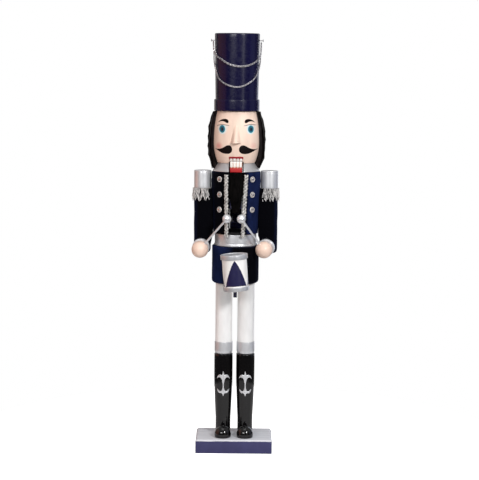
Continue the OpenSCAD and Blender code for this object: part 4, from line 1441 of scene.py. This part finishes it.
def make_fringe(name, side, look):
    """Bullion fringe: two tiers of crimped silver loops that hang anyhow from under the cap."""
    rng = random.Random(21 + side)
    high = CAP_LOW.z - 0.1
    shapes = []
    for tier, count in enumerate(FRINGE_LOOPS):
        for i in range(count):
            angle = tau * (i + 0.5 * tier + rng.uniform(-0.35, 0.35)) / count
            drop = rng.uniform(15.5, 19) - tier * rng.uniform(1, 7)
            width = rng.uniform(0.6, 1.3)
            splay = rng.uniform(0.2, 1.8)
            skew = rng.uniform(-2.6, 2.6)
            wave = rng.uniform(0, 6)
            r = SLEEVE_R + 0.65 + 0.5 * tier
            route = []
            for k in range(25):
                t = k / 12 if k < 13 else (24 - k) / 12
                half = width * (1 if k < 13 else -1) * min(1, 3 * (1 - t))
                a = angle + (half + skew * t * t + 0.7 * sin(wave + 6 * t)) / r
                out = r + splay * t * t + 0.3 * sin(wave * 2 + 8 * t)
                route.append(Vector((side * ARM_X + out * cos(a), out * sin(a),
                    high - drop * t)))
            if min(abs(p.x) for p in route) < TORSO_CLEAR_X:
                continue
            thick = rng.uniform(0.34, 0.5)
            shapes.append(tube(route, lambda t, w=thick: w * (1 + 0.2 * sin(t * 150)), 5))
    piece(f"bullion_fringe_{name}", joined(shapes), look, f"epaulette_fringe_{name}", 70,
        f"arm_{name}")


def make_arms():
    wood = timber("arm_wood")
    silver = silver_paint("epaulette_silver", (232, 233, 236))
    fringe = fibre("fringe_silver", "silver_braid", rgb(150, 146, 148), rgb(255, 252, 248), 0.4,
        0.2, lock=0.9)
    flesh = enamel("hand_flesh", "flesh_enamel", rgb(238, 208, 190), 0.45, 0.1)
    stick_white = silver_paint("stick_silver", (236, 237, 239), 0.3, (1, 1, 1))
    for name, side in SIDES.items():
        body = f"arm_{name}"
        dress(f"arm_core_{name}", wood)
        dress(f"forearm_{name}", wood)
        # Painted sheen: each sleeve turns navy towards its outer side, from 54 mm to 68 mm out
        # from the middle.
        make_sleeve(name, side, velvet(f"sleeve_velvet_{name}", side * 54, side * 68))
        r, low, high = SLEEVE_R - 0.12, CAP_LOW.z, CAP_HIGH.z
        cap = rounded([(r - 0.8, low), (r, low, 0.25), (r, high - 2.8, 0.2),
            (r - 0.18, high - 2.55, 0.2), (r, high - 2.3, 0.2), (r, high, 1.1), (0, high)])
        cap = [(0, low + 20), (r - 0.8, low + 20)] + cap
        piece(f"epaulette_cap_{name}", revolve(divided(cap, 3), (side * ARM_X, 0)), silver,
            f"epaulette_{name}", body=body)
        make_fringe(name, side, fringe)
        elbow, way = forearm(name, side)
        ring = rounded([(4, 0), (12.4, 0, 0.9), (12.4, 5, 0.9), (4, 5)], closed=True)
        cuff = as_bmesh(moved(revolve(ring, segments=72, closed=True),
            along(elbow + way * WRIST_AT, way)))
        slice_off(cuff, (side * TORSO_CLEAR_X, 0, 0), (-side, 0, 0))
        piece(f"cuff_ring_{name}", cuff, silver, f"cuff_{name}", body=body)
        hand = elbow + way * HAND_AT
        ball = STICK_ENDS[name]
        line = (ball - hand).normalized()
        piece(f"hand_ball_{name}", turned_ball(HAND_R, hand, way, 0.35), flesh, f"hand_{name}",
            body=body)
        length = (ball - hand).length - BALL_R - 4
        stick = rounded([(0, 0), (1.5, 0), (1.45, length), (0, length)])
        piece(f"stick_{name}", moved(revolve(divided(stick, 4), segments=24),
            along(hand + line * 5, line)), stick_white, f"drumstick_{name}", body=body)
        piece(f"stick_end_{name}", turned_ball(BALL_R, ball, line, 0.15), stick_white,
            f"stick_ball_{name}", body=body)


# ---- drum ----

def drum_piece(name, shape, look, node=None):
    """A piece of the drum, made upright about its middle and then hung with the drum's roll."""
    hang = Matrix.Translation(DRUM_MIDDLE) @ Matrix.Rotation(radians(-DRUM_ROLL), 4, "Y")
    piece(name, moved(shape, hang), look, node)


def make_drum():
    white = enamel("drum_white", "drum_enamel", rgb(250, 248, 245), 0.35, 0.2)
    navy = enamel("drum_navy", "drum_enamel", rgb(24, 22, 66), 0.35, 0.2)
    silver = silver_paint("drum_silver", (210, 211, 215), brushed=(12, 12, 1))
    skin_look = silver_paint("drum_head_silver", (200, 201, 205), 0.4, (1, 1, 1))
    half = DRUM_H / 2
    low_r, fit_r = RIM_R - 1.1, DRUM_R + 0.05
    shell = [(0, 2 - half), (DRUM_R, 2 - half), (DRUM_R, half - 2), (0, half - 2)]
    drum_piece("drum_body", revolve(divided(shell, 5)), white, "drum_shell")
    top_rim = rounded([(fit_r, half - 6.5), (RIM_R, half - 6.5, 0.6), (RIM_R, half, 0.7),
        (RIM_R - 1.8, half, 0.5), (RIM_R - 2.3, half - 1.2, 0.3), (fit_r - 1, half - 1.9),
        (fit_r, half - 2.1)], closed=True)
    drum_piece("drum_hoop_top", revolve(top_rim, closed=True), silver, "drum_rim_top")
    head = rounded([(0, half - 2), (RIM_R - 2.4, half - 2), (RIM_R - 2.2, half - 0.9, 0.4),
        (0, half - 0.75)])
    drum_piece("drum_head", revolve(divided(head, 3)), skin_look)
    low_rim = rounded([(0, -half), (low_r, -half, 0.8), (low_r, 6 - half, 0.5),
        (fit_r, 6 - half), (fit_r, 2 - half), (0, 2 - half)])
    drum_piece("drum_hoop_bottom", revolve(low_rim), silver, "drum_rim_bottom")
    third = tau / 3 * DRUM_R
    shapes = []
    for k in range(3):
        middle, apex, foot = 0.4 + k * third, half - 7.4, 6.1 - half
        steps = [(0.475 * third * share ** 0.8, apex + (foot - apex) * share)
            for share in (1, 0.8, 0.6, 0.4, 0.2, 0.08)]
        outline = [(middle - x, z) for x, z in steps] + [(middle, apex)]
        outline += [(middle + x, z) for x, z in steps[::-1]]
        shapes.append(points_of(paint_patch(outline, on_drum, 0.12, step=1.5)))
    drum_piece("drum_triangles", joined(shapes), navy)


def make_hidden_parts():
    """Finishes for the CAD pieces that stay: dowels, pins, screws and the drum's peg."""
    wood = timber("dowel_wood", (222, 192, 146), (186, 146, 98))
    for node in ("leg_dowels", "body_dowel", "head_dowels", "hat_dowel", "drum_peg"):
        dress(node, wood)
    steel = metal("pin_steel", "pin_steel", (196, 198, 202), 0.28)
    for node in ("jaw_pin", "shoulder_pins", "base_screws"):
        dress(node, steel)


# ---- the scene ----

make_camera()
make_chains()
make_light()
make_surroundings()
make_base()
make_boots()
make_legs()
make_skirt()
make_belt()
make_coat()
make_slot_shade_sheets()
make_braids()
make_buttons()
make_collars()
make_head()
make_face()
make_mouth()
make_hair()
make_hat()
make_jaw()
make_beard()
make_arms()
make_drum()
make_hidden_parts()
